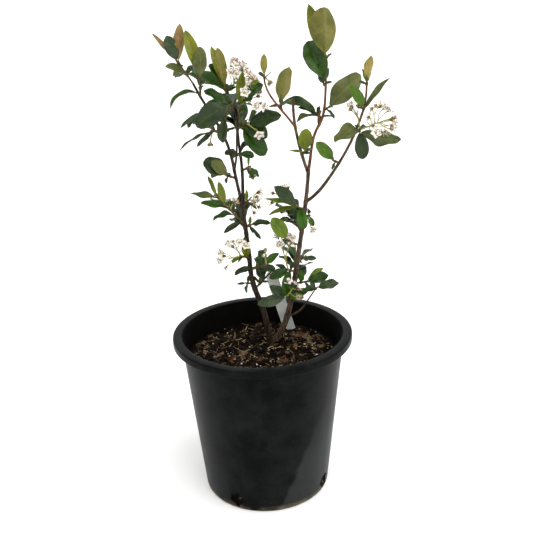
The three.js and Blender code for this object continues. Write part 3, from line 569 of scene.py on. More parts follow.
def heading(lean, toward):
    """The direction that leans this far to the right and this far toward the viewer."""
    level = math.cos(math.radians(toward))
    x = math.sin(math.radians(lean)) * level
    z = math.cos(math.radians(lean)) * level
    return np.array([x, -math.sin(math.radians(toward)), z])


def cross_axes(axis):
    """Two directions square to an axis and to each other."""
    reference = np.array([1.0, 0, 0]) if abs(axis[1]) > 0.85 else np.array([0, 1.0, 0])
    side = unit(np.cross(reference, axis))
    return side, unit(np.cross(axis, side))


def limb_path(limb, limbs):
    """Points, directions and radii from a limb's foot to its tip."""
    steps = LIMB.path_steps
    parent = limbs.get(limb.get("parent"))
    if parent:
        place = limb_place(parent, limb["at"])[0]
    else:
        place = np.array([*limb["foot"], SOIL.level + GAP])
    points, axes, radii = [], [], []
    for step in range(steps + 1):
        share = step / steps
        lean = np.interp(share, np.linspace(0, 1, len(limb["leans"])), limb["leans"])
        axis = heading(lean, limb["toward"])
        rise = share * limb["length"]
        flare = 0 if parent else LIMB.flare * max(0, 1 - rise / LIMB.flare_height) ** 2
        points.append(place)
        axes.append(axis)
        radii.append(between(limb["radius"], limb["tip_radius"], share) * (1 + flare))
        place = place + axis * limb["length"] / steps
    return np.array(points), np.array(axes), np.array(radii)


def limb_place(limb, share):
    """The point, direction and radius of a limb at a share of its length."""
    spot = min(max(share, 0), 1) * LIMB.path_steps
    first = min(int(spot), LIMB.path_steps - 1)
    point, axis, radius = (between(row[first], row[first + 1], spot - first) for row in limb["path"])
    return point, unit(axis), radius


def golden_turn(order, random):
    """The angle of a leaf or flower round its axis: a golden angle on from the last, and a chance turn."""
    return math.radians(GOLDEN_ANGLE * order + 360 * random())


def back_leaves(spray, random):
    """The leaves that the rule sets behind a shoot."""
    leaves = []
    for k in range(spray["back"]):
        lean = spray["lean"] + spray["fan"] * math.sin(golden_turn(k, random))
        toward = between(*BACK_LEAF.toward, random())
        length = between(*BACK_LEAF.length, random())
        at = (k + 0.7) / (spray["back"] + 0.4)
        leaves.append(leaf(lean, length, at=at, toward=toward, face=BACK_LEAF.face, tone="old"))
    return leaves


def small_leaves(spray, random):
    """The small leaves that the rule, carried finer, sets round a shoot between the large ones."""
    leaves = []
    for k in range(spray["small"]):
        turn = golden_turn(k, random)
        lean = spray["lean"] + SMALL_LEAF.fan * math.sin(turn)
        toward = SMALL_LEAF.nod * math.cos(turn)
        length = between(*SMALL_LEAF.length, random())
        at = between(*SMALL_LEAF.at, random())
        tone = "old" if random() < SMALL_LEAF.old_share else "mid"
        leaves.append(leaf(lean, length, at=at, toward=toward, tone=tone))
    return leaves


def settle(plan, spray, random):
    """Fills in by the growth rule whatever a leaf's plan leaves open."""
    turn, arch, size = random(), random(), random()
    ruled = dict(
        tone=spray["tone"], face=between(*LEAF.face, turn), droop=between(*LEAF.droop, arch),
        broad=LEAF.broad * between(*LEAF.uneven, size),
    )
    return {**plan, **{key: value for key, value in ruled.items() if plan[key] is None}}


def flower_heads(plan, root, random):
    """Where the flowers of a head sit, which way they look, and where their stalks fork off."""
    axis = heading(plan["lean"], plan["toward"])
    side, across = cross_axes(axis)
    count, spread = plan["count"], plan["spread"]
    if count > 1:
        count = round(count * (BLOSSOM.fuller + BLOSSOM.crowd * count))
    flowers = []
    for k in range(count):
        rank = (k + 0.5) / count
        turn = golden_turn(k, random)
        out = spread * math.sqrt(rank)
        sag = BLOSSOM.dome * out * out / spread + spread * BLOSSOM.unlevel * (random() - 0.5)
        offset = side * math.cos(turn) + across * math.sin(turn)
        head = root + axis * (plan["rise"] - sag) + offset * out
        fork = root + axis * plan["rise"] * between(*BLOSSOM.fork, rank)
        look = unit(axis + offset * BLOSSOM.outlook * out / spread - np.array([0, BLOSSOM.front, 0]))
        kind = "open" if random() < plan["open"] else "spent" if plan["open"] else "bud"
        flowers.append(dict(head=head, fork=fork, look=look, kind=kind, spin=turn))
    return flowers


def grow_spray(spray, order, limbs):
    """The shoot, leaves and flowers of one spray, in place."""
    seeds = SEED["spray"], SEED["small"]
    random, fine_random = (seeded_random(base + step * order) for base, step in seeds)
    leaf_seed, spray_step, leaf_step = SEED["leaf"]
    point, _, radius = limb_place(limbs[spray["limb"]], spray["at"])
    axis = heading(spray["lean"], spray["toward"])
    foot = SHOOT.collar + (radius if spray["at"] < 1 else 0)
    thick = min(SHOOT.thickest, radius * SHOOT.slimness)
    leaves, blooms = [], []

    def along(share):
        return point + axis * (foot + share * spray["length"])

    def set_leaf(plan, rank, share, draw):
        settled = settle(plan, spray, draw)
        settled["root"] = along(share)
        settled["seed"] = leaf_seed + spray_step * order + leaf_step * rank
        if np.linalg.norm(settled["root"] - point) + settled["length"] <= LEAF.reach:
            leaves.append(settled)

    plans = [*spray["leaves"], *back_leaves(spray, random)]
    for rank, plan in enumerate(plans):
        set_back = plan["at"] - rank * SHOOT.spacing / spray["length"]
        set_leaf(plan, rank, max(min(SHOOT.lowest_leaf, plan["at"]), set_back), random)
    for rank, plan in enumerate(small_leaves(spray, fine_random), len(plans)):
        set_leaf(plan, rank, plan["at"], fine_random)
    for plan in spray["blooms"]:
        root = along(plan["at"])
        tip = root + heading(plan["lean"], plan["toward"]) * plan["rise"] * BLOSSOM.stem
        blooms.append(dict(root=root, tip=tip, flowers=flower_heads(plan, root, random)))
    return dict(
        name=spray["name"], start=point, tip=along(SHOOT.overrun), thick=thick, axis=axis,
        leaves=leaves, blooms=blooms, order=order,
    )


def grow_plant():
    """Every limb with its path, and every spray in place."""
    limbs = {}
    for limb in LIMBS:
        limbs[limb["name"]] = {**limb, "path": limb_path(limb, limbs)}
    return limbs, [grow_spray(spray, order, limbs) for order, spray in enumerate(SPRAYS)]


# Meshes
class Pile:
    """Points and faces of one kind of thing, gathered to become one piece."""

    def __init__(self):
        self.points = []
        self.faces = []
        self.slots = []
        self.marks = []
        self.count = 0

    def add(self, points, *blocks, slots=0, marks=None):
        """Adds points, in millimetres, and blocks of faces that number them from nought, with their slots.

        Marks are two lengths at each point: how far out and how far along its leaf or limb it lies.
        """
        if not isinstance(slots, list):
            slots = [slots] * len(blocks)
        for block, slot in zip(blocks, slots):
            self.faces.extend((block + self.count).tolist())
            self.slots.extend(np.broadcast_to(slot, len(block)).tolist())
        self.points.append(points)
        self.marks.append(np.zeros((len(points), 2)) if marks is None else marks)
        self.count += len(points)

    def take(self, part, ways, place):
        """Adds another pile's things, turned to three square directions and set at a place."""
        self.faces.extend([[corner + self.count for corner in face] for face in part.faces])
        self.slots.extend(part.slots)
        self.points.append(np.concatenate(part.points) @ ways + place)
        self.marks.append(np.zeros((part.count, 2)))
        self.count += part.count

    def mesh(self, name):
        """The pile as a bare mesh."""
        mesh = bpy.data.meshes.new(name)
        mesh.from_pydata((np.concatenate(self.points) * MM).tolist(), [], self.faces)
        return mesh

    def piece(self, name, finishes, slot, stands_for, crease=45):
        """The pile as one piece on the plant, with a finish for each of its slots."""
        mesh = self.mesh(name)
        for finish in finishes:
            mesh.materials.append(finish)
        mesh.polygons.foreach_set("material_index", self.slots)
        mesh.polygons.foreach_set("use_smooth", [True] * len(self.faces))
        mesh.set_sharp_from_angle(angle=math.radians(crease))
        marks = np.concatenate(self.marks) * MM
        if marks.any():
            corners = np.zeros(len(mesh.loops), dtype=np.int32)
            mesh.loops.foreach_get("vertex_index", corners)
            mesh.uv_layers.new(name="out_and_along").data.foreach_set("uv", marks[corners].ravel())
        return dress(stand(name, mesh), stands_for)


def stand(name, data):
    """A thing in the scene, made from a mesh, a lamp or a lens."""
    made = bpy.data.objects.new(name, data)
    bpy.context.scene.collection.objects.link(made)
    return made


def dress(made, stands_for):
    """Sets a piece on the plant's one body, in the place of the solids it stands for."""
    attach(made, "root")
    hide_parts(*stands_for)
    return made


def grid_faces(rows, columns, closed=False):
    """Faces of a grid of points; a closed one joins its last column to its first."""
    index = np.arange(rows * columns).reshape(rows, columns)
    if closed:
        index = np.concatenate([index, index[:, :1]], axis=1)
    corners = [index[:-1, :-1], index[:-1, 1:], index[1:, 1:], index[1:, :-1]]
    return np.stack(corners, axis=-1).reshape(-1, 4)


def shell(top, under):
    """Points and faces of a thin closed blade between an upper and a lower grid of points."""
    rows, columns = top.shape[:2]
    flat = grid_faces(rows, columns)
    index = np.arange(rows * columns).reshape(rows, columns)
    rim = np.concatenate([index[0], index[1:, -1], index[-1, -2::-1], index[-2:0:-1, 0]])
    ahead = np.roll(rim, -1)
    below = rows * columns
    border = np.stack([rim, ahead, ahead + below, rim + below], axis=-1)
    points = np.concatenate([top.reshape(-1, 3), under.reshape(-1, 3)])
    return points, flat[:, [0, 3, 2, 1]], flat + below, border


def ring_solid(rings, start, end):
    """Points and faces of a closed skin through rings of points, drawn in to a point at each end."""
    rows, sides = rings.shape[:2]
    points = np.concatenate([rings.reshape(-1, 3), [start], [end]])
    ring = np.arange(sides)
    ahead = np.roll(ring, -1)
    last = (rows - 1) * sides
    foot = np.stack([ahead, ring, np.full(sides, rows * sides)], axis=-1)
    tip = np.stack([ring + last, ahead + last, np.full(sides, rows * sides + 1)], axis=-1)
    return points, grid_faces(rows, sides, closed=True), foot, tip


def ring_turns(sides):
    return np.arange(sides) * 2 * np.pi / sides


def ring_spokes(axis, turns):
    """A spoke at each turn round an axis."""
    side, across = cross_axes(axis)
    return np.cos(turns)[:, None] * side + np.sin(turns)[:, None] * across


def tube(path, radii, sides):
    """A closed round tube along a path of points."""
    path = np.asarray(path)
    spokes = ring_spokes(unit(path[-1] - path[0]), ring_turns(sides))
    rings = path[:, None] + np.asarray(radii)[:, None, None] * spokes
    return ring_solid(rings, path[0], path[-1])


def bowed(start, bend, end, steps):
    """Points on an even curve from start to end that leaves toward a bend."""
    share = np.linspace(0, 1, steps)[:, None]
    return start * (1 - share) ** 2 + bend * 2 * share * (1 - share) + end * share**2


def lathe(profile, sides, out_of_round=0):
    """A turned closed solid from a profile of radius and height that starts and ends on the axis."""
    profile = np.asarray(profile)
    turns = ring_turns(sides)
    inner = profile[1:-1]
    uneven = 1 + out_of_round * (np.sin(2 * turns + 0.7) + 0.6 * np.sin(3 * turns + 2.1))
    radius = inner[:, :1] * uneven
    height = np.repeat(inner[:, 1:], sides, axis=1)
    rings = np.stack([radius * np.cos(turns), radius * np.sin(turns), height], axis=-1)
    return ring_solid(rings, [0, 0, profile[0][1]], [0, 0, profile[-1][1]])


def rounded(corners, steps=5):
    """A profile whose corners, each a radius, a height and a rounding, are eased by short arcs."""
    outline = []
    places = [np.array(corner[:2], float) for corner in corners]
    for order, (*_, ease) in enumerate(corners):
        here = places[order]
        if ease == 0:
            outline.append(here)
            continue
        before = here + unit(places[order - 1] - here) * ease
        after = here + unit(places[order + 1] - here) * ease
        outline.extend(bowed(before, here, after, steps))
    return outline


# Limbs
# A full turn in radians, near enough for a chance angle
FULL_TURN = 6.28


def bark_relief(limb, along, turns, swellings, random):
    """How far the bark stands out, as a share of the radius: ridges, pores, and knuckles at the shoots."""
    rise, turn = np.meshgrid(along, turns, indexing="ij")
    ridge, fade, swell, ring, _ = (FULL_TURN * random() for _ in range(5))
    # Five ridges wind up the limb and fade in and out, two swells wind with them, and rings lie close.
    relief = BARK.ridge * np.sin(5 * turn + 0.06 * rise + ridge) * np.sin(0.11 * rise + fade)
    relief += BARK.swell * np.sin(2 * turn + 0.09 * rise + swell)
    relief += BARK.ring * np.sin(3 * turn + 0.55 * rise + ring)
    for _ in range(int(limb["length"] * BARK.pores_per_mm)):
        place, facing = limb["length"] * random(), FULL_TURN * random()
        width = between(*BARK.pore_width, random())
        turned = np.angle(np.exp(1j * (turn - facing)))
        away = ((rise - place) / BARK.pore_length) ** 2 + (turned / width) ** 2
        relief += BARK.pore * np.exp(-away)
    for place, size in swellings:
        relief += size * np.exp(-(((rise - place) / BARK.knuckle_length) ** 2))
    return relief


def limb_skin(limb, swellings):
    """A limb's bark, from a little inside what carries it to its tip."""
    random = seeded_random(len(limb["name"]) * SEED["limb"] + int(limb["length"]))
    count = int(limb["length"] / LIMB.ring_spacing)
    along = np.linspace(0, limb["length"], count + 1)
    turns = ring_turns(LIMB.sides)
    relief = bark_relief(limb, along, turns, swellings, random)
    rings, marks = [], []
    for rise, row in zip(along, relief):
        point, axis, radius = limb_place(limb, rise / limb["length"])
        marks.append((radius, rise))
        rings.append(point + radius * (1 + row)[:, None] * ring_spokes(axis, turns))
    if "foot" in limb:
        rings.insert(0, rings[0] - UP * LIMB.sunk)
        marks.insert(0, marks[0])
    rings = np.array(rings)
    marks = np.concatenate([np.repeat(marks, LIMB.sides, axis=0), [marks[0]], [marks[-1]]])
    return *ring_solid(rings, rings[0].mean(axis=0), rings[-1].mean(axis=0)), marks


# Leaves
BLADE_COLUMNS = np.array([-1, -0.85, -0.6, -0.34, -0.13, -0.04, 0.04, 0.13, 0.34, 0.6, 0.85, 1])


def blade_width(share, broad):
    """Half the blade's width, as a share of its widest; a broad leaf is blunter at its tip."""
    full = np.sin(np.pi * share**1.05) ** (0.8 + (0.15 - 0.9 * broad) * share)
    drawn_out = np.clip((share - LEAF.point) / (1 - LEAF.point), 0, 1) ** 1.3
    return full * (1 - LEAF.pointed * drawn_out)


def leaf_frame(plan):
    """The way a leaf's tip lies, the way its upper side looks, and the way across."""
    chord = heading(plan["lean"], plan["toward"])
    face = math.radians(plan["face"])
    sky = np.array([0, -math.sin(face), math.cos(face)])
    upper = unit(sky - chord * sky.dot(chord))
    return chord, upper, unit(np.cross(upper, chord))


def midrib(plan, chord, upper, shares):
    """Places on the midrib, which arches over its chord, and the way the upper side looks there."""
    bend = math.radians(plan["droop"] or 1)
    arc = plan["length"] * bend / 2 / math.sin(bend / 2)
    start = chord * math.cos(bend / 2) + upper * math.sin(bend / 2)
    rise = upper * math.cos(bend / 2) - chord * math.sin(bend / 2)
    turn = (bend * shares)[:, None]
    points = plan["root"] + start * arc * np.sin(turn) / bend - rise * arc * (1 - np.cos(turn)) / bend
    return points, rise * np.cos(turn) + start * np.sin(turn)


def toothed_edge(plan, length):
    """Shares down the blade, two to a tooth, and half the blade's width at each."""
    teeth = max(5, round(length / LEAF.tooth))
    steps = np.arange(teeth)
    share = np.sort(np.concatenate([steps, steps + LEAF.tooth_lead])) / teeth
    share = np.append(between(*LEAF.blade, share), 1.0)
    saw = np.append(np.tile([0, LEAF.tooth_depth], teeth), 0)
    widest = plan["length"] * plan["broad"] / 2
    half = widest * blade_width(np.minimum(share, LEAF.tip), plan["broad"]) * (LEAF.notch + saw)
    return share, np.maximum(half, LEAF.tip_half)[:, None]


def leaf_blade(plan, random):
    """A leaf's blade: toothed, folded at the midrib, puckered between its veins, twisted and curled."""
    chord, upper, across = leaf_frame(plan)
    full = plan["length"]
    length = full * (1 - LEAF.petiole)
    share, half = toothed_edge(plan, length)
    down = share[:, None]
    points, uppers = midrib(plan, chord, upper, between(LEAF.petiole, 1, share))
    twist = math.radians(between(*LEAF.twist, random())) * down
    # The two edges wave about once or twice each, out of step.
    waves = between(*LEAF.waves, random()) * down
    turn = 2 * np.pi * (waves + random() + LEAF.out_of_step * (BLADE_COLUMNS > 0))
    wave = between(*LEAF.wave, random()) * np.sin(turn)
    fold = math.radians(between(*LEAF.fold, random()))
    curl = between(*LEAF.curl, random()) * full * (share**2.5 - share)
    sickle = between(*LEAF.sickle, random()) * full * (share**2 - share)
    points = points + uppers * curl[:, None] + across * sickle[:, None]
    apart = np.abs(BLADE_COLUMNS)
    reach = half * BLADE_COLUMNS * math.cos(fold)
    phase = (down * length - LEAF.vein_slant * half * apart) / LEAF.vein
    pucker = LEAF.pucker * full * np.cos(2 * np.pi * phase) * np.sin(np.pi * apart**0.8)
    lift = half * (math.sin(fold) * apart * (1.25 - 0.35 * apart) + wave * apart**2) - pucker
    over = uppers[:, None]
    spread = across * np.cos(twist)[:, None] + over * np.sin(twist)[:, None]
    above = over * np.cos(twist)[:, None] - across * np.sin(twist)[:, None]
    top = points[:, None] + spread * reach[..., None] + above * lift[..., None]
    rib = LEAF.thickness * (1 + LEAF.rib * np.exp(-((apart / LEAF.rib_half) ** 2)) * (1 - down))
    under = top - above * rib[..., None]
    place = np.stack([half * apart, down * length + 0 * apart], axis=-1).reshape(-1, 2)
    return *shell(top, under), np.concatenate([place, place])


def add_leaf(pile, plan, shades):
    """A leaf with its stalk. Slots: upper shades first, then the underside, then midrib and stalk."""
    random = seeded_random(plan["seed"])
    shade = int(random() * shades)
    points, top, under, border, marks = leaf_blade(plan, random)
    middle = len(BLADE_COLUMNS) // 2 - 1
    column = np.arange(len(top)) % (len(BLADE_COLUMNS) - 1)
    ribs = np.where(column == middle, shades + 1, -1)
    slots = [np.where(ribs > 0, ribs, shade), np.where(ribs > 0, ribs, shades), shade]
    pile.add(points, top, under, border, slots=slots, marks=marks)
    chord, upper, _ = leaf_frame(plan)
    # The stalk runs on under the blade for half its own length.
    path, _ = midrib(plan, chord, upper, np.linspace(0, LEAF.petiole * 1.5, 5))
    size = LEAF.stalk * min(1.1, 0.6 + plan["length"] / 80)
    pile.add(*tube(path, size * np.array([1.35, 1, 0.9, 0.85, 0.4]), 6), slots=shades + 1)


# Shoots
def add_shoot(pile, spray):
    """A shoot from inside its limb to its tip, with a knuckle and a bud at each leaf and one at the end."""
    start, tip, axis = spray["start"], spray["tip"], spray["axis"]
    span = np.linalg.norm(tip - start)
    share = np.linspace(0, 1, max(6, int(span / SHOOT.ring_spacing)))
    radii = between(spray["thick"], SHOOT.tip_radius, share)
    for plan in spray["leaves"]:
        apart = (share - np.linalg.norm(plan["root"] - start) / span) * span
        radii = radii * (1 + SHOOT.knuckle * np.exp(-((apart / SHOOT.knuckle_length) ** 2)))
    pile.add(*tube(between(start, tip, share[:, None]), radii, SHOOT.sides))
    for plan in spray["leaves"]:
        chord, upper, _ = leaf_frame(plan)
        add_bud(pile, plan["root"], unit(chord + upper * 0.9 + axis), *SHOOT.leaf_bud)
    add_bud(pile, tip - axis * 0.5, axis, *SHOOT.tip_bud)


def add_bud(pile, root, axis, length, radius):
    """A small pointed bud of overlapping scales."""
    share = np.array([0, 0.25, 0.5, 0.75, 0.93])[:, None]
    pile.add(*tube(root + axis * length * share, radius * np.array([0.6, 1, 0.95, 0.6, 0.2]), 6), slots=1)


# Blossom
def petal_blade(cup, spin):
    """One round petal of a flower that looks up, cupped and drawn in to a claw, turned to its place."""
    share = np.linspace(0, 1, 6)[:, None]
    columns = np.linspace(-1, 1, 7)
    half = FLOWER.petal_half * np.sin(np.pi * (0.06 + 0.86 * share**0.85)) ** 0.9
    out = between(FLOWER.claw, FLOWER.petal, share) - 0.5 * share * columns**2
    rise = 0.2 + cup * share**1.6 + 0.55 * share * columns**2
    top = turn_upright(np.stack([out, half * columns, rise], axis=-1), spin)[:, ::-1]
    return shell(top, top - UP * FLOWER.petal_thickness)


def sepal_blade(spin):
    """One small pointed sepal under the petals, turned to its place."""
    share = np.array([0, 0.5, 1])[:, None, None]
    columns = np.array([1, 0, -1])[None, :, None]
    side = outward(spin + math.pi / 2) * columns * (0.95 - 0.8 * share)
    top = outward(spin) * (1.1 + 1.9 * share) + side - UP * 0.15 * (1 + share)
    return shell(top, top - UP * FLOWER.sepal_thickness)


def scaled_lathe(outline, size, sides):
    """A turned solid whose outline is given for a size of one."""
    return lathe([(radius * size, height * size) for radius, height in outline], sides)


def cup_skin(size):
    """The green cup under a flower or bud."""
    outline = [(0, -2.3), (0.5, -2.2), (1.0, -1.5), (1.35, -0.6), (1.5, 0.15), (0, 0.25)]
    return scaled_lathe(outline, size, 10)


def flower_parts(random, state):
    """A flower that looks up, fresh or spent, as a pile for each kind of part."""
    petals, stamens, cups = Pile(), Pile(), Pile()
    step = 360 / FLOWER.petals
    cup = between(*FLOWER.cup, random())
    for k in range(FLOWER.petals):
        if state.petals_left == 1 or random() < state.petals_left:
            lift = cup + between(*FLOWER.uneven, random())
            petals.add(*petal_blade(lift, math.radians(step * k + between(*FLOWER.askew, random()))))
    for k in range(state.stamens):
        out = outward(math.radians(360 * k / state.stamens + STAMEN.askew * random()))
        foot = out * STAMEN.root[0] + UP * STAMEN.root[1]
        tip = out * between(*state.reach, random()) + UP * between(*STAMEN.height, random())
        stamens.add(*tube([foot, tip], state.filament, 3))
        anther = tip + np.outer(STAMEN.anther, UP)
        stamens.add(*tube(anther, STAMEN.anther_radii, 5), slots=state.anther_slot)
    disc = [(0, 1.3), (0.7, 1.2), (1.3, 0.5), (1.5, 0.1), (0, 0.1)]
    cups.add(*lathe(disc, 10), slots=state.disc_slot)
    cups.add(*cup_skin(state.cup), slots=state.cup_slot)
    for k in range(FLOWER.petals):
        cups.add(*sepal_blade(math.radians(step * (k + 0.5))))
    return petals, stamens, cups


def bud_parts(random):
    """A closed flower that looks up: a round bud in its cup."""
    petals, cups = Pile(), Pile()
    outline = [(0, -0.9), (0.7, -0.7), (1, 0), (0.85, 0.6), (0.45, 1.0), (0, 1.12)]
    petals.add(*scaled_lathe(outline, between(*FLOWER.bud, random()), 12), slots=1)
    cups.add(*cup_skin(FLOWER.bud_cup))
    return petals, Pile(), cups


def add_blossom(piles, bloom_plan, random):
    """A head of blossom: its stalk, the flowers' own stalks, and each flower or bud."""
    *part_piles, stalks = piles
    size = BLOSSOM.stalk
    path = between(bloom_plan["root"], bloom_plan["tip"], np.linspace(0, 1, 5)[:, None])
    stalks.add(*tube(path, size * np.array([2.1, 1.8, 1.6, 1.3, 0.9]), 6))
    for flower in bloom_plan["flowers"]:
        head, look, turn = flower["head"], flower["look"], flower["spin"]
        foot = head - look * 2
        span = np.linalg.norm(foot - flower["fork"])
        path = bowed(flower["fork"], foot - look * span * 0.45, foot, 7)
        stalks.add(*tube(path, size * np.array([1.2, 1, 0.95, 0.95, 1, 1.1, 1.4]), 5))
        side, across = cross_axes(look)
        first = side * math.cos(turn) + across * math.sin(turn)
        second = across * math.cos(turn) - side * math.sin(turn)
        if flower["kind"] == "bud":
            made = bud_parts(random)
        else:
            made = flower_parts(random, SPENT if flower["kind"] == "spent" else FRESH)
        for pile, part in zip(part_piles, made):
            if part.count:
                pile.take(part, np.array([first, second, look]), head)


# Pot
def wall_radius(height):
    """The wall's outer radius at a height."""
    share = height / (POT.height - POT.rim_thickness)
    return between(POT.base_radius, POT.wall_top_radius, share)


def pot_skin():
    """The moulded pot: flat base, tapered wall, and a flat flange with a turned-down lip."""
    top, wall, rim = POT.height, POT.wall, POT.rim_radius
    under = top - POT.rim_thickness
    lip = top - POT.rim_drop
    corners = [
        (0, 0, 0),
        (POT.base_radius - 0.6, 0, POT.corner),
        (POT.wall_top_radius, under, 2.2),
        (rim - wall, under, 1.2),
        (rim - wall, lip, 0.5),
        (rim, lip, 0.7),
        (rim, top, 1.6),
        (POT.wall_top_radius - wall, top, 1.6),
        (wall_radius(POT.floor) - wall, POT.floor, 2),
        (0, POT.floor, 0),
    ]
    return lathe(rounded(corners), POT.sides, POT.out_of_round)


def drain_turn(order):
    """The angle of a drain hole round the pot, in radians."""
    return math.radians(DRAIN.first_angle + 360 * order / DRAIN.count)


def drain_cutter(order, random):
    """A ragged plug that cuts one drain hole low in the wall."""
    turns = ring_turns(DRAIN.sides)
    reach = np.array([1 + DRAIN.torn + DRAIN.ragged * (2 * random() - 1) for _ in turns])
    centre = DRAIN.sill + DRAIN.height / 2
    across = DRAIN.width / 2 * reach * np.cos(turns)
    height = centre + DRAIN.height / 2 * reach * np.sin(turns)
    rings = []
    for depth in (-DRAIN.depth / 2, DRAIN.depth / 2):
        rings.append(np.stack([np.full(len(turns), wall_radius(centre) + depth), across, height], axis=-1))
    rings = turn_upright(np.array(rings), drain_turn(order))
    return ring_solid(rings, rings[0].mean(axis=0), rings[1].mean(axis=0))


def make_pot(finishes, crease=40):
    """The pot with its drain holes cut; its inside has a darker finish of its own, which is painted shade.
    """
    skin, plugs = Pile(), Pile()
    skin.add(*pot_skin())
    pot = skin.piece("nursery_pot", finishes, "pot_plastic", ["pot"], crease=crease)
    random = seeded_random(SEED["drains"])
    for order in range(DRAIN.count):
        plugs.add(*drain_cutter(order, random))
    cutter = stand("drain_plugs", plugs.mesh("drain_plugs"))
    cut = pot.modifiers.new("drain_holes", "BOOLEAN")
    cut.object = cutter
    cut.operation = "DIFFERENCE"
    cut.solver = "EXACT"
    graph = bpy.context.evaluated_depsgraph_get()
    holed = bpy.data.meshes.new_from_object(pot.evaluated_get(graph))
    pot.modifiers.clear()
    pot.data = holed
    bpy.data.objects.remove(cutter)
    holed.set_sharp_from_angle(angle=math.radians(crease))
    half_way = POT.height / 2 * MM
    # Faces that look inward, and the floor inside, take the darker inside finish: painted shade.
    for face in holed.polygons:
        inward = -face.normal.xy.dot(face.center.xy) / (face.center.xy.length + MM)
        if inward > 0.4 or (face.normal.z > 0.7 and face.center.z < half_way):
            face.material_index = 1


# Potting mix
SCATTER_REACH = SOIL.flat_radius + 1
BOX = np.array([[x, y, z] for z in (-1, 1) for x, y in ((-1, -1), (1, -1), (1, 1), (-1, 1))], float)
BOX_FACES = np.array([[3, 2, 1, 0], [4, 5, 6, 7], [0, 1, 5, 4], [1, 2, 6, 5], [2, 3, 7, 6], [3, 0, 4, 7]])


def soil_height(x, y):
    """The lumpy top of the potting mix."""
    out = math.hypot(x, y)
    dip = SOIL.edge_dip * max(0, (out - SOIL.flat_radius) / SOIL.edge_width) ** 2
    lumps = noise.fractal(Vector((x / SOIL.lump_size, y / SOIL.lump_size, 3.1)), 1.0, 2.0, 4)
    return SOIL.level - dip + SOIL.lumps * lumps


def soil_skin():
    """The potting mix: a lumpy top and sides that follow the pot's inside."""
    turns = ring_turns(SOIL.sides)
    side_gap = POT.wall + GAP * 1.5
    foot = POT.floor + GAP
    edge = wall_radius(SOIL.level - SOIL.edge_dip) - side_gap
    rings = []
    for share in np.linspace(1 / SOIL.rings, 1, SOIL.rings):
        ring = [(edge * share * math.cos(t), edge * share * math.sin(t)) for t in turns]
        rings.append([(x, y, soil_height(x, y)) for x, y in ring])
    for height in np.linspace(SOIL.level - SOIL.edge_width, foot, SOIL.side_rings):
        radius = wall_radius(height) - side_gap
        rings.append([(radius * math.cos(t), radius * math.sin(t), height) for t in turns])
    return ring_solid(np.array(rings)[::-1], [0, 0, foot], [0, 0, soil_height(0, 0)])


def scatter(random, count, reach):
    """Places spread evenly over the potting mix, each with its height."""
    for _ in range(count):
        turn, out = 2 * math.pi * random(), reach * math.sqrt(random())
        x, y = out * math.cos(turn), out * math.sin(turn)
        yield np.array([x, y, soil_height(x, y)])


def keep_inside(points):
    """Draws a scrap's points in from the pot's wall."""
    out = np.hypot(points[:, 0], points[:, 1])
    draw = np.minimum(1, SCATTER_REACH / np.maximum(out, 1))
    return points * np.stack([draw, draw, np.ones(len(points))], axis=-1)


def loose_frame(random, tilt):
    """Three square directions of a scrap that lies about flat."""
    turn = 2 * math.pi * random()
    slopes = [math.tan(math.radians(tilt) * (2 * random() - 1)) for _ in range(3)]
    long_way = unit(np.array([math.cos(turn), math.sin(turn), slopes[0]]))
    across = unit(np.cross(np.array([*slopes[1:], 1]), long_way))
    return np.array([long_way, across, np.cross(long_way, across)])


def uneven_shares(random, ends, count):
    """Chance shares between two ends, three for each point."""
    return np.array([[between(*ends, random()) for _ in range(3)] for _ in range(count)])


def pick(kind, limits):
    """Which of the ranges between the limits a chance falls in, counted from nought."""
    return sum(kind >= limit for limit in limits)


def make_chips(pile, random):
    """Flat scraps of bark, larger and smaller, half sunk in the mix, with patches of crumbs and of chips."""
    for place in scatter(random, CHIP.count, SCATTER_REACH):
        long = between(*CHIP.length, random() ** 3)
        wide = long * between(*CHIP.slimness, random())
        size = np.array([long, wide, between(*CHIP.thickness, random())])
        uneven = uneven_shares(random, CHIP.uneven, len(BOX))
        points = keep_inside(BOX * size * uneven @ loose_frame(random, CHIP.tilt) + place)
        kind = random() + CHIP.patchy * noise.fractal(Vector(place / CHIP.patch), 1.0, 2.0, 3)
        slot = (3, 0, 1, 2)[pick(kind, CHIP.kinds)]
        pile.add(points + UP * CHIP.lift, BOX_FACES, slots=slot)


def make_drain_scraps(pile, random):
    """Scraps of bark that show in the drain holes, at the edge of the mix."""
    for order in range(DRAIN.count):
        for _ in range(SCRAP.count):
            height = DRAIN.sill + DRAIN.height * between(*SCRAP.rise, random())
            turn = drain_turn(order) + (random() - 0.5) * SCRAP.spread * DRAIN.width / POT.base_radius
            out = wall_radius(height) - POT.wall * between(*SCRAP.depth, random())
            ends = SCRAP.length, SCRAP.width, SCRAP.thickness
            size = np.array([between(*pair, random()) for pair in ends])
            place = outward(turn) * out + UP * height
            points = BOX * size @ loose_frame(random, SCRAP.tilt) + place
            pile.add(points, BOX_FACES, slots=(3, 0, 2, 1)[int(random() * 4)])


def make_grains(pile, random):
    """Small pale grains of perlite, grit and feed."""
    outline = [(0, -1), (0.8, -0.6), (1, 0.1), (0.7, 0.7), (0, 1)]
    for place in scatter(random, GRAIN.count, SCATTER_REACH):
        radius = between(*GRAIN.radius, random() ** 2)
        squash = between(*GRAIN.squash, random())
        points, *faces = lathe([(r * radius, h * radius * squash) for r, h in outline], GRAIN.sides)
        points = points * uneven_shares(random, GRAIN.uneven, len(points))
        slot = pick(random(), GRAIN.kinds)
        pile.add(points + place + UP * (radius * 0.5 + GRAIN.lift), *faces, slots=slot)


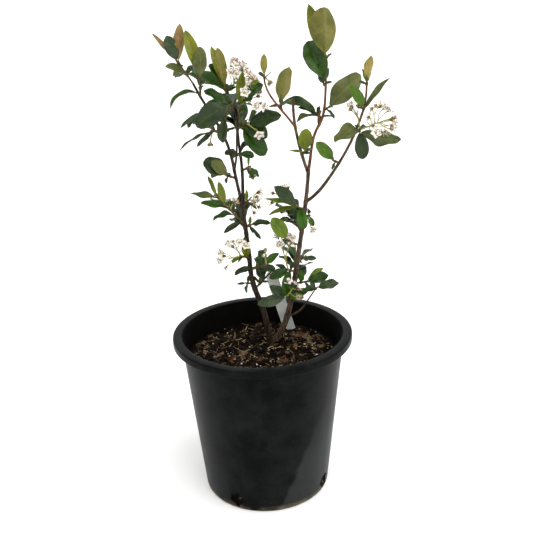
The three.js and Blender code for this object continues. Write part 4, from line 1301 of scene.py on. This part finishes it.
def make_straws(pile, random):
    """Fine dry roots and bits of stalk that lie on the mix."""
    for place in scatter(random, STRAW.count, SOIL.flat_radius - STRAW.inset):
        long_way, across, _ = loose_frame(random, STRAW.tilt)
        length = between(*STRAW.length, random() ** 1.5)
        bend = place + long_way * length * 0.5 + across * length * STRAW.bow * (random() - 0.5)
        path = keep_inside(bowed(place, bend, place + long_way * length, 6))
        heights = [soil_height(x, y) + STRAW.lift for x, y, _ in path]
        path[:, 2] = np.maximum(path[:, 2], heights)
        thick = between(*STRAW.radius, random() ** 3)
        pile.add(*tube(path, thick * np.array([0.7, 1, 1, 1, 0.9, 0.5]), 5), slots=int(random() * 2))


# Label
def label_skin():
    """A blank plastic strip with a rounded head, a little bowed, that leans out of the mix."""
    up = heading(LABEL.lean, 0)
    across = np.array([up[2], 0, -up[0]])
    ahead = np.array([0, -1.0, 0])
    reach = LABEL.length - LABEL.width
    base = np.array([LABEL.x, LABEL.y, SOIL.level + GAP])
    half = LABEL.width / 2
    share = np.linspace(0, 1, 40)[:, None]
    columns = np.linspace(-1, 1, 9)
    rise = between(-LABEL.sunk, reach - LABEL.blunt, share)
    from_head = np.clip((reach - rise) / half, 0, 1)
    width = half * np.sqrt(1 - (1 - from_head) ** 2 * 0.98)
    bow = LABEL.bow * (share**2 - share) + LABEL.dish * columns**2
    grid = base + up * (rise + 0 * columns)[..., None] + across * (width * columns)[..., None]
    top = grid + ahead * (bow + LABEL.thickness / 2)[..., None]
    return shell(top, top - ahead * LABEL.thickness)


# Finishes
def linear(code):
    """An sRGB hex colour as linear red, green, blue and alpha."""
    channels = [int(code[place:place + 2], 16) / 255 for place in (1, 3, 5)]
    return (*[c / 12.92 if c <= 0.04045 else ((c + 0.055) / 1.055) ** 2.4 for c in channels], 1)


def per_metre(size):
    """A pattern's scale for features of this size in millimetres."""
    return 1 / (size * MM)


def add_node(tree, kind, inputs=None, output=0, **settings):
    """Adds a node, with its settings and each input linked or set, and gives one of its outputs."""
    made = tree.nodes.new("ShaderNode" + kind)
    for name, value in settings.items():
        setattr(made, name, value)
    for name, source in (inputs or {}).items():
        if isinstance(source, bpy.types.NodeSocket):
            tree.links.new(source, made.inputs[name])
        else:
            made.inputs[name].default_value = source
    return made.outputs[output]


def new_finish(name, **sockets):
    """A material with these plain values on its shader; gives the material, its nodes and the shader."""
    material = bpy.data.materials.new(name)
    material.use_nodes = True
    shader = material.node_tree.nodes["Principled BSDF"]
    for socket, value in sockets.items():
        shader.inputs[socket.replace("_", " ")].default_value = value
    return material, material.node_tree, shader


def feed(tree, shader, **sources):
    """Links patterns to the shader's sockets."""
    for socket, source in sources.items():
        tree.links.new(source, shader.inputs[socket.replace("_", " ")])


def clouds(tree, place, size, detail, roughness=0.5):
    """A cloudy pattern with features of this size, in millimetres."""
    inputs = {"Vector": place, "Scale": per_metre(size), "Detail": detail, "Roughness": roughness}
    return add_node(tree, "TexNoise", inputs)


def ramp(tree, value, low, high, first=0.0, last=1.0):
    """A value carried from the range low to high onto the range first to last."""
    ends = {"From Min": low, "From Max": high, "To Min": first, "To Max": last}
    return add_node(tree, "MapRange", {"Value": value, **ends})


def blend(tree, level, colour, other):
    """A colour between two, by a level from nought to one."""
    return add_node(tree, "Mix", {0: level, 6: colour, 7: other}, 2, data_type="RGBA")


def reckon(tree, operation, *values):
    """The result of a sum with two or three values."""
    return add_node(tree, "Math", dict(enumerate(values)), operation=operation)


def bump(tree, height, strength, depth):
    """A fine relief of this depth, in millimetres, drawn in the shading."""
    return add_node(tree, "Bump", {"Height": height, "Strength": strength, "Distance": depth * MM})


def mottled(name, dark, light, size, roughness, relief=0.05, **sockets):
    """A finish that wanders between two tones over patches of a size, with a fine relief, in millimetres."""
    material, tree, shader = new_finish(name, IOR=1.45, **sockets)
    place = add_node(tree, "TexCoord", output="Object")
    level = ramp(tree, clouds(tree, place, size, 4.0, 0.6), 0.32, 0.68)
    feed(
        tree, shader,
        Base_Color=blend(tree, level, linear(dark), linear(light)),
        Roughness=ramp(tree, level, 0, 1, roughness * 0.88, roughness * 1.12),
        Normal=bump(tree, clouds(tree, place, size * 0.22, 3.0), 0.5, relief),
    )
    return material


# Fresh leaf: a waxy upper skin gives soft sky highlights, and the underside is duller and paler.
# Each tone is the upper shades, then the underside, then the midrib and stalk, as dark and light.
LEAF_TONES = dict(
    old=[
        ("#13240a", "#2b4110"), ("#1c2a12", "#354427"), ("#1a3308", "#304f0e"), ("#182611", "#2d3c1a"),
        ("#3a4522", "#5a6335"), ("#2a3a1b", "#3b4b24"),
    ],
    mid=[
        ("#1f390a", "#395911"), ("#263c10", "#41581d"), ("#20420a", "#396110"),
        ("#454f20", "#686f34"), ("#3c5018", "#4f6224"),
    ],
    olive=[
        ("#313c17", "#525b2b"), ("#3c431c", "#5e6331"),
        ("#545a26", "#7b7440"), ("#565d2c", "#6c7038"),
    ],
    fresh=[
        ("#34520d", "#517218"),
        ("#4b5c20", "#6d7a36"), ("#4c661a", "#637c28"),
    ],
    bright=[
        ("#3a5206", "#5f7411"), ("#455406", "#6b7218"),
        ("#535a15", "#767a2c"), ("#5a6618", "#6f7825"),
    ],
    young=[
        ("#556204", "#7b7918"), ("#5d5a10", "#857428"),
        ("#6c6e2c", "#9f8d52"), ("#6a6730", "#827a44"),
    ],
    bronze=[
        ("#4f4d18", "#776431"), ("#574820", "#7f6637"),
        ("#735c33", "#9f885f"), ("#75583a", "#8f7552"),
    ],
)


def draw_veins(material, depth):
    """Darkens a leaf's finish along its side veins, which leave the midrib and bend forward to the edge:
    partly the veins' own tone, partly painted shade in their grooves.
    """
    tree = material.node_tree
    shader = tree.nodes["Principled BSDF"]
    mark = add_node(tree, "SeparateXYZ", {"Vector": add_node(tree, "TexCoord", output="UV")}).node.outputs
    # A vein runs forward 0.9 of its way out at the midrib, and ever more toward the edge.
    bend = reckon(tree, "MULTIPLY_ADD", mark["X"], 45.0, 0.9)
    back = reckon(tree, "SUBTRACT", mark["Y"], reckon(tree, "MULTIPLY", mark["X"], bend))
    apart = reckon(tree, "PINGPONG", reckon(tree, "MULTIPLY", back, per_metre(LEAF.vein)), 0.5)
    level = ramp(tree, apart, 0.0, 0.16, depth, 0.0)
    plain = shader.inputs["Base Color"].links[0].from_socket
    feed(tree, shader, Base_Color=blend(tree, level, plain, (0, 0, 0, 1)))
    return material


def leaf_finishes(tone):
    """The finishes of one tone of leaf, in the order of a leaf's slots."""
    *uppers, under, rib = LEAF_TONES[tone]
    made = []
    for order, shades in enumerate(uppers):
        name = f"waxy_leaf_{tone}_{order + 1}"
        upper = mottled(name, *shades, 16, 0.36, relief=0.06, Specular_IOR_Level=0.28)
        made.append(draw_veins(upper, 0.18))
    lower = mottled(f"leaf_underside_{tone}", *under, 14, 0.6, relief=0.1, Specular_IOR_Level=0.15)
    made.append(draw_veins(lower, 0.22))
    made.append(mottled(f"leaf_midrib_{tone}", *rib, 8, 0.5, relief=0.03, Specular_IOR_Level=0.25))
    return made


def moulded_pot_plastic():
    """Injection-moulded black polypropylene: satin, with dust, scuffs, a dusty foot, and a lighter painted
    reflection low on the front.
    """
    material, tree, shader = new_finish("moulded_black_polypropylene", IOR=1.49, Specular_IOR_Level=0.045)
    place = add_node(tree, "TexCoord", output="Object")
    axes = add_node(tree, "SeparateXYZ", {"Vector": place}).node.outputs
    dust = clouds(tree, place, 30, 7.0, 0.66)
    dusty = ramp(tree, dust, 0.4, 0.68)
    colour = blend(tree, dusty, linear("#010202"), linear("#121514"))
    # A lighter painted reflection lies on the front and ends on a slanted edge, which wavers.
    slant = reckon(tree, "MULTIPLY_ADD", axes["Z"], -0.41, axes["X"])
    waver = reckon(tree, "MULTIPLY_ADD", dust, 9 * MM, slant)
    painted_reflection = ramp(tree, waver, 15 * MM, 20 * MM, 0.0, 0.4)
    # The painted reflection lies on the front, and fades up the wall. The dusty foot fades within a few
    # millimetres.
    front, low, foot = (
        ramp(tree, axes[way], full * MM, none * MM, 1.0, 0.0)
        for way, full, none in (("Y", -25, 5), ("Z", 55, 125), ("Z", 2, 8))
    )
    reflection_share = reckon(tree, "MULTIPLY", front, low)
    streak_way = add_node(
        tree, "Mapping", {"Vector": place, "Scale": (1, 1, 0.22), "Rotation": (0.5, 0.3, 0)},
    )
    scuffs = ramp(tree, clouds(tree, streak_way, 5, 5.0, 0.7), 0.66, 0.8, 0.0, 0.7)
    # The first shade is the painted reflection; the scuffs and the foot are real wear and dust.
    for level, share, shade in (
        (painted_reflection, reflection_share, "#3a3e3d"), (scuffs, dusty, "#6a6b63"), (foot, dusty, "#7d7058"),
    ):
        colour = blend(tree, reckon(tree, "MULTIPLY", level, share), colour, linear(shade))
    # The grain of the mould is finer than this, and is drawn coarser so that it still dulls the sheen.
    grain = clouds(tree, place, 0.9, 2.0)
    feed(
        tree, shader,
        Base_Color=colour,
        Roughness=ramp(tree, dust, 0, 1, 0.24, 0.52),
        Normal=bump(tree, grain, 0.35, 0.05),
    )
    return material


def inner_pot_plastic():
    """The pot's inside: the same black plastic, kept darker and less dusty than the outside as painted
    shade.
    """
    return mottled("painted_shade_black_polypropylene", "#020202", "#080706", 20, 0.7, Specular_IOR_Level=0.06)


def bark_finish(name, dark, light, pore, thin=None):
    """Smooth bark, dull to the eye, with lengthwise streaks and small pale pores.

    Thin is the two radii between which it turns to the red-brown of young bark.
    """
    material, tree, shader = new_finish(name, IOR=1.45, Roughness=0.62, Specular_IOR_Level=0.16)
    place = add_node(tree, "TexCoord", output="Object")
    long_way = add_node(tree, "Mapping", {"Vector": place, "Scale": (1, 1, 0.25)})
    streaks = clouds(tree, long_way, 2.4, 5.0, 0.65)
    level = ramp(tree, streaks, 0.34, 0.7)
    skin = blend(tree, level, linear(dark), linear(light))
    if thin:
        radius = add_node(tree, "SeparateXYZ", {"Vector": add_node(tree, "TexCoord", output="UV")}, "X")
        slim = ramp(tree, radius, thin[0] * MM, thin[1] * MM, 1.0, 0.0)
        # Young bark reddens only in the sun: high up, and on the right.
        axes = add_node(tree, "SeparateXYZ", {"Vector": place}).node.outputs
        sunny = reckon(tree, "MULTIPLY_ADD", axes["Z"], 0.5, axes["X"])
        youth = reckon(tree, "MULTIPLY", slim, ramp(tree, sunny, 175 * MM, 210 * MM))
        young = blend(tree, level, linear("#472819"), linear("#835238"))
        skin = blend(tree, youth, skin, young)
    pores = add_node(tree, "TexVoronoi", {"Vector": place, "Scale": per_metre(2.6)}, feature="F1")
    pore_level = ramp(tree, pores, 0.12, 0.24, 0.8, 0.0)
    relief = reckon(tree, "ADD", streaks, pore_level)
    feed(
        tree, shader,
        Base_Color=blend(tree, pore_level, skin, linear(pore)),
        Normal=bump(tree, relief, 0.6, 0.12),
    )
    return material


# Assembly
def swellings_on(limb):
    """Where shoots and boughs leave a limb, and how much it thickens there."""
    found = []
    shoots, boughs = (SPRAYS, "limb", BARK.shoot_knuckle), (LIMBS, "parent", BARK.bough_knuckle)
    for others, carrier, size in (shoots, boughs):
        for other in others:
            if other.get(carrier) == limb["name"] and other["at"] < 1:
                found.append((other["at"] * limb["length"], size))
    return found


def lay_on_mix(name, finishes, *makers, crease=45):
    """One piece of loose things on the potting mix, whose makers each draw from a seed of their own."""
    pile = Pile()
    for make, seed in makers:
        make(pile, seeded_random(SEED[seed]))
    pile.piece(name, finishes, "potting_mix", ["potting_mix"], crease=crease)


limbs, sprays = grow_plant()
every_spray = [spray["name"] for spray in sprays]

make_pot([moulded_pot_plastic(), inner_pot_plastic()])

# Damp, crumbly things give the eye little sheen.
MATT = dict(Specular_IOR_Level=0.08)

# Composted bark: dark by nature, and painted nearly black as painted shade in the gaps between chips, broken
# up by coarse crumbs.
soil = Pile()
soil.add(*soil_skin())
soil.piece(
    "potting_mix_bed", [mottled("composted_bark_with_painted_shade", "#040302", "#0f0a06", 3.5, 0.92, relief=1.2, **MATT)],
    "potting_mix", ["potting_mix"], crease=80,
)
# Milled bark: wet chips are dark brown, split ones show red, old ones have dried to a dull grey.
lay_on_mix(
    "bark_chips",
    [
        mottled("wet_bark_chip", "#0a0604", "#1e140b", 2, 0.8, relief=0.3, **MATT),
        mottled("red_bark_chip", "#28180e", "#513723", 2, 0.85, relief=0.3, **MATT),
        mottled("grey_bark_chip", "#382f24", "#6b5c47", 2, 0.9, relief=0.3, **MATT),
        # The darkest crumbs are nearly black: partly the compost's own colour, partly painted shade between
        # the chips.
        mottled("compost_crumb_with_painted_shade", "#030202", "#0b0704", 2, 0.92, relief=0.3, **MATT),
    ],
    (make_chips, "chips"), (make_drain_scraps, "scraps"), crease=30,
)
# Washed grit is a dull tan, expanded perlite a chalky white, and the resin coat of the feed shines a little.
lay_on_mix(
    "perlite_and_grit",
    [
        mottled("tan_grit", "#7d6a4c", "#a6936f", 0.8, 0.85, relief=0.1),
        mottled("expanded_perlite", "#b9b2a2", "#dcd6c8", 0.8, 0.9, relief=0.1),
        mottled("coated_feed_grain", "#a8672c", "#cf9450", 0.8, 0.4, relief=0.02),
    ],
    (make_grains, "grains"),
)
# Dried roots give pale straw-coloured lines, dead stalks dull brown ones.
lay_on_mix(
    "dry_roots_and_stalks",
    [
        mottled("dry_root", "#866f50", "#bba278", 1.5, 0.85, relief=0.1, **MATT),
        mottled("dead_stalk", "#3a2c20", "#62503c", 1.5, 0.85, relief=0.1, **MATT),
    ],
    (make_straws, "straws"),
)

# A strip cut from white polypropylene sheet: off-white, with a satin sheen that shows its bow.
label = Pile()
label.add(*label_skin())
label.piece(
    "blank_label", [mottled("white_polypropylene_strip", "#b4b6b0", "#cfd1cb", 14, 0.42, relief=0.03)],
    "label_plastic", ["plant_label"],
)

# Weathered bark is a dull grey-brown, bark in painted shade nearly black, and young bark has a warm
# red-brown skin.
barks = dict(
    old_bark=bark_finish("grey_brown_bark", "#1a130d", "#655340", "#81705d", thin=(0.6, 1.7)),
    shady_bark=bark_finish("painted_shade_dark_bark", "#0d0906", "#3c2f24", "#5e4f40"),
    young_bark=bark_finish("red_brown_young_bark", "#25180f", "#5e4733", "#8f7158", thin=(1.45, 1.95)),
)
for limb in limbs.values():
    skin = Pile()
    *mesh, marks = limb_skin(limb, swellings_on(limb))
    skin.add(*mesh, marks=marks)
    # The limbs on the left hang in the shade of their leaves, so their bark is painted darker: painted
    # shade.
    kind = "shady_bark" if limb["name"].startswith("left") else limb["bark"]
    skin.piece(limb["name"] + "_bark", [barks[kind]], "bark", [limb["name"]])

shoots = Pile()
leaf_piles = {tone: Pile() for tone in LEAF_TONES}
leaf_homes = {tone: set() for tone in LEAF_TONES}
petals, stamens, cups, stalks = Pile(), Pile(), Pile(), Pile()
bloom_homes = sorted(spray["name"] for spray in sprays if spray["blooms"])
for spray in sprays:
    add_shoot(shoots, spray)
    for plan in spray["leaves"]:
        tone = plan["tone"]
        add_leaf(leaf_piles[tone], plan, len(LEAF_TONES[tone]) - 2)
        leaf_homes[tone].add(spray["name"])
    flower_random = seeded_random(SEED["flower"] + spray["order"])
    for head in spray["blooms"]:
        add_blossom((petals, stamens, cups, stalks), head, flower_random)

# This year's shoots have a green-brown skin, and bud scales a dull red-brown one.
shoots.piece(
    "shoots_and_buds",
    [
        bark_finish("green_brown_shoot_skin", "#35291a", "#5f5230", "#7d7250"),
        mottled("bud_scale", "#4a2c22", "#71463a", 1, 0.5, relief=0.1),
    ],
    "bark", every_spray,
)
for tone, pile in leaf_piles.items():
    pile.piece(f"{tone}_leaves", leaf_finishes(tone), "foliage", sorted(leaf_homes[tone]), crease=60)

# Fresh petals are a soft matt white that stands out from the leaves; closed buds are a dull green-buff.
petals.piece(
    "petals_and_buds",
    [
        mottled("fresh_white_petal", "#e6e3da", "#f7f5f0", 2.5, 0.5, relief=0.04),
        mottled("closed_bud_petal", "#5d5636", "#857a54", 2, 0.5, relief=0.04),
    ],
    "foliage", bloom_homes, crease=60,
)
# White threads carry rose-brown anthers, which speckle the flowers and dry to tan.
stamens.piece(
    "stamens",
    [
        mottled("white_filament", "#dcd6c4", "#efeadd", 1, 0.6, relief=0.02),
        mottled("rose_brown_anther", "#5f3524", "#8c573f", 0.6, 0.7, relief=0.04),
        mottled("dry_tan_anther", "#94744a", "#bd9c6c", 0.6, 0.8, relief=0.04),
    ],
    "foliage", bloom_homes,
)
# Downy cups are a dull green, the disc in a flower is moist and yellow-green, and spent cups dry to brown.
cups.piece(
    "flower_cups",
    [
        mottled("downy_green_cup", "#5d5a30", "#86804c", 1.2, 0.7, relief=0.06),
        mottled("yellow_green_flower_disc", "#9a9a4a", "#bdb96e", 0.8, 0.5, relief=0.05),
        mottled("dry_brown_cup", "#3f2a15", "#6b4c28", 0.9, 0.75, relief=0.08),
    ],
    "foliage", bloom_homes,
)
# Soft down takes the shine off the pale stalks.
stalks.piece(
    "flower_stalks", [mottled("downy_green_stalk", "#727434", "#9b9a50", 1.5, 0.65, relief=0.05)],
    "foliage", bloom_homes,
)

# Floor, light and camera
# The floor, in metres: flat near the pot, and rising ever faster outside.
FLOOR = Sizes(reach=28, flat=7, sweep=0.03, rings=56, sides=96)


def lay_floor():
    """A wide pale floor that sweeps up at its far edge, so that no horizon shows."""
    sides = FLOOR.sides
    out = np.linspace(0, FLOOR.reach, FLOOR.rings + 1)[1:]
    rise = FLOOR.sweep * np.clip(out - FLOOR.flat, 0, None) ** 2
    rings = [[(r * math.cos(t), r * math.sin(t), z) for t in ring_turns(sides)] for r, z in zip(out, rise)]
    points = np.concatenate([np.array(rings).reshape(-1, 3), [[0, 0, 0]]])
    ring = np.arange(sides)
    middle = np.stack([np.roll(ring, -1), ring, np.full(sides, len(points) - 1)], axis=-1)
    mesh = bpy.data.meshes.new("pale_floor")
    faces = grid_faces(len(rings), sides, closed=True).tolist() + middle.tolist()
    mesh.from_pydata(points.tolist(), [], faces)
    mesh.polygons.foreach_set("use_smooth", [True] * len(mesh.polygons))
    # Matt white paint has no shine, so the floor runs into the pale room.
    mesh.materials.append(mottled("matt_white_paint", "#fafaf9", "#fcfcfb", 400, 0.95, relief=0.02))
    stand("pale_floor", mesh)


def hang_light(name, place, breadth, power):
    """A broad, even light from a far place: its breadth in degrees, its power in watts per square metre."""
    lamp = bpy.data.lights.new(name, "SUN")
    lamp.angle = math.radians(breadth)
    lamp.energy = power
    made = stand(name, lamp)
    made.location = place
    made.rotation_euler = (-Vector(place)).to_track_quat("-Z", "Y").to_euler()


def set_camera():
    """The camera at the photo's place, tilt and lens."""
    pitch, yaw, roll = (math.radians(CAMERA[key]) for key in ("pitch", "yaw", "roll"))
    ahead = np.array([math.sin(yaw) * math.cos(pitch), math.cos(yaw) * math.cos(pitch), -math.sin(pitch)])
    level = np.array([math.cos(yaw), -math.sin(yaw), 0])
    above = np.cross(level, ahead)
    right = level * math.cos(roll) + above * math.sin(roll)
    up = above * math.cos(roll) - level * math.sin(roll)
    lens = bpy.data.cameras.new("photo_camera")
    lens.lens = CAMERA["lens"]
    lens.sensor_width = CAMERA["sensor"]
    lens.clip_start = 0.01
    camera = stand("photo_camera", lens)
    turned = Matrix((right, up, -ahead)).transposed().to_4x4()
    camera.matrix_world = Matrix.Translation(Vector(CAMERA["place"]) * MM) @ turned
    bpy.context.scene.camera = camera


lay_floor()
hang_light("key_light", (1.0, -0.8, 1.65), 64, 2.3)
hang_light("top_light", (-0.6, 0.3, 1.9), 90, 1.3)
room = bpy.data.worlds.new("pale_room")
room.use_nodes = True
glow = room.node_tree.nodes["Background"].inputs
glow["Color"].default_value = linear("#ffffff")
glow["Strength"].default_value = 0.5
bpy.context.scene.world = room
bpy.context.scene.view_settings.view_transform = "Standard"
set_camera()
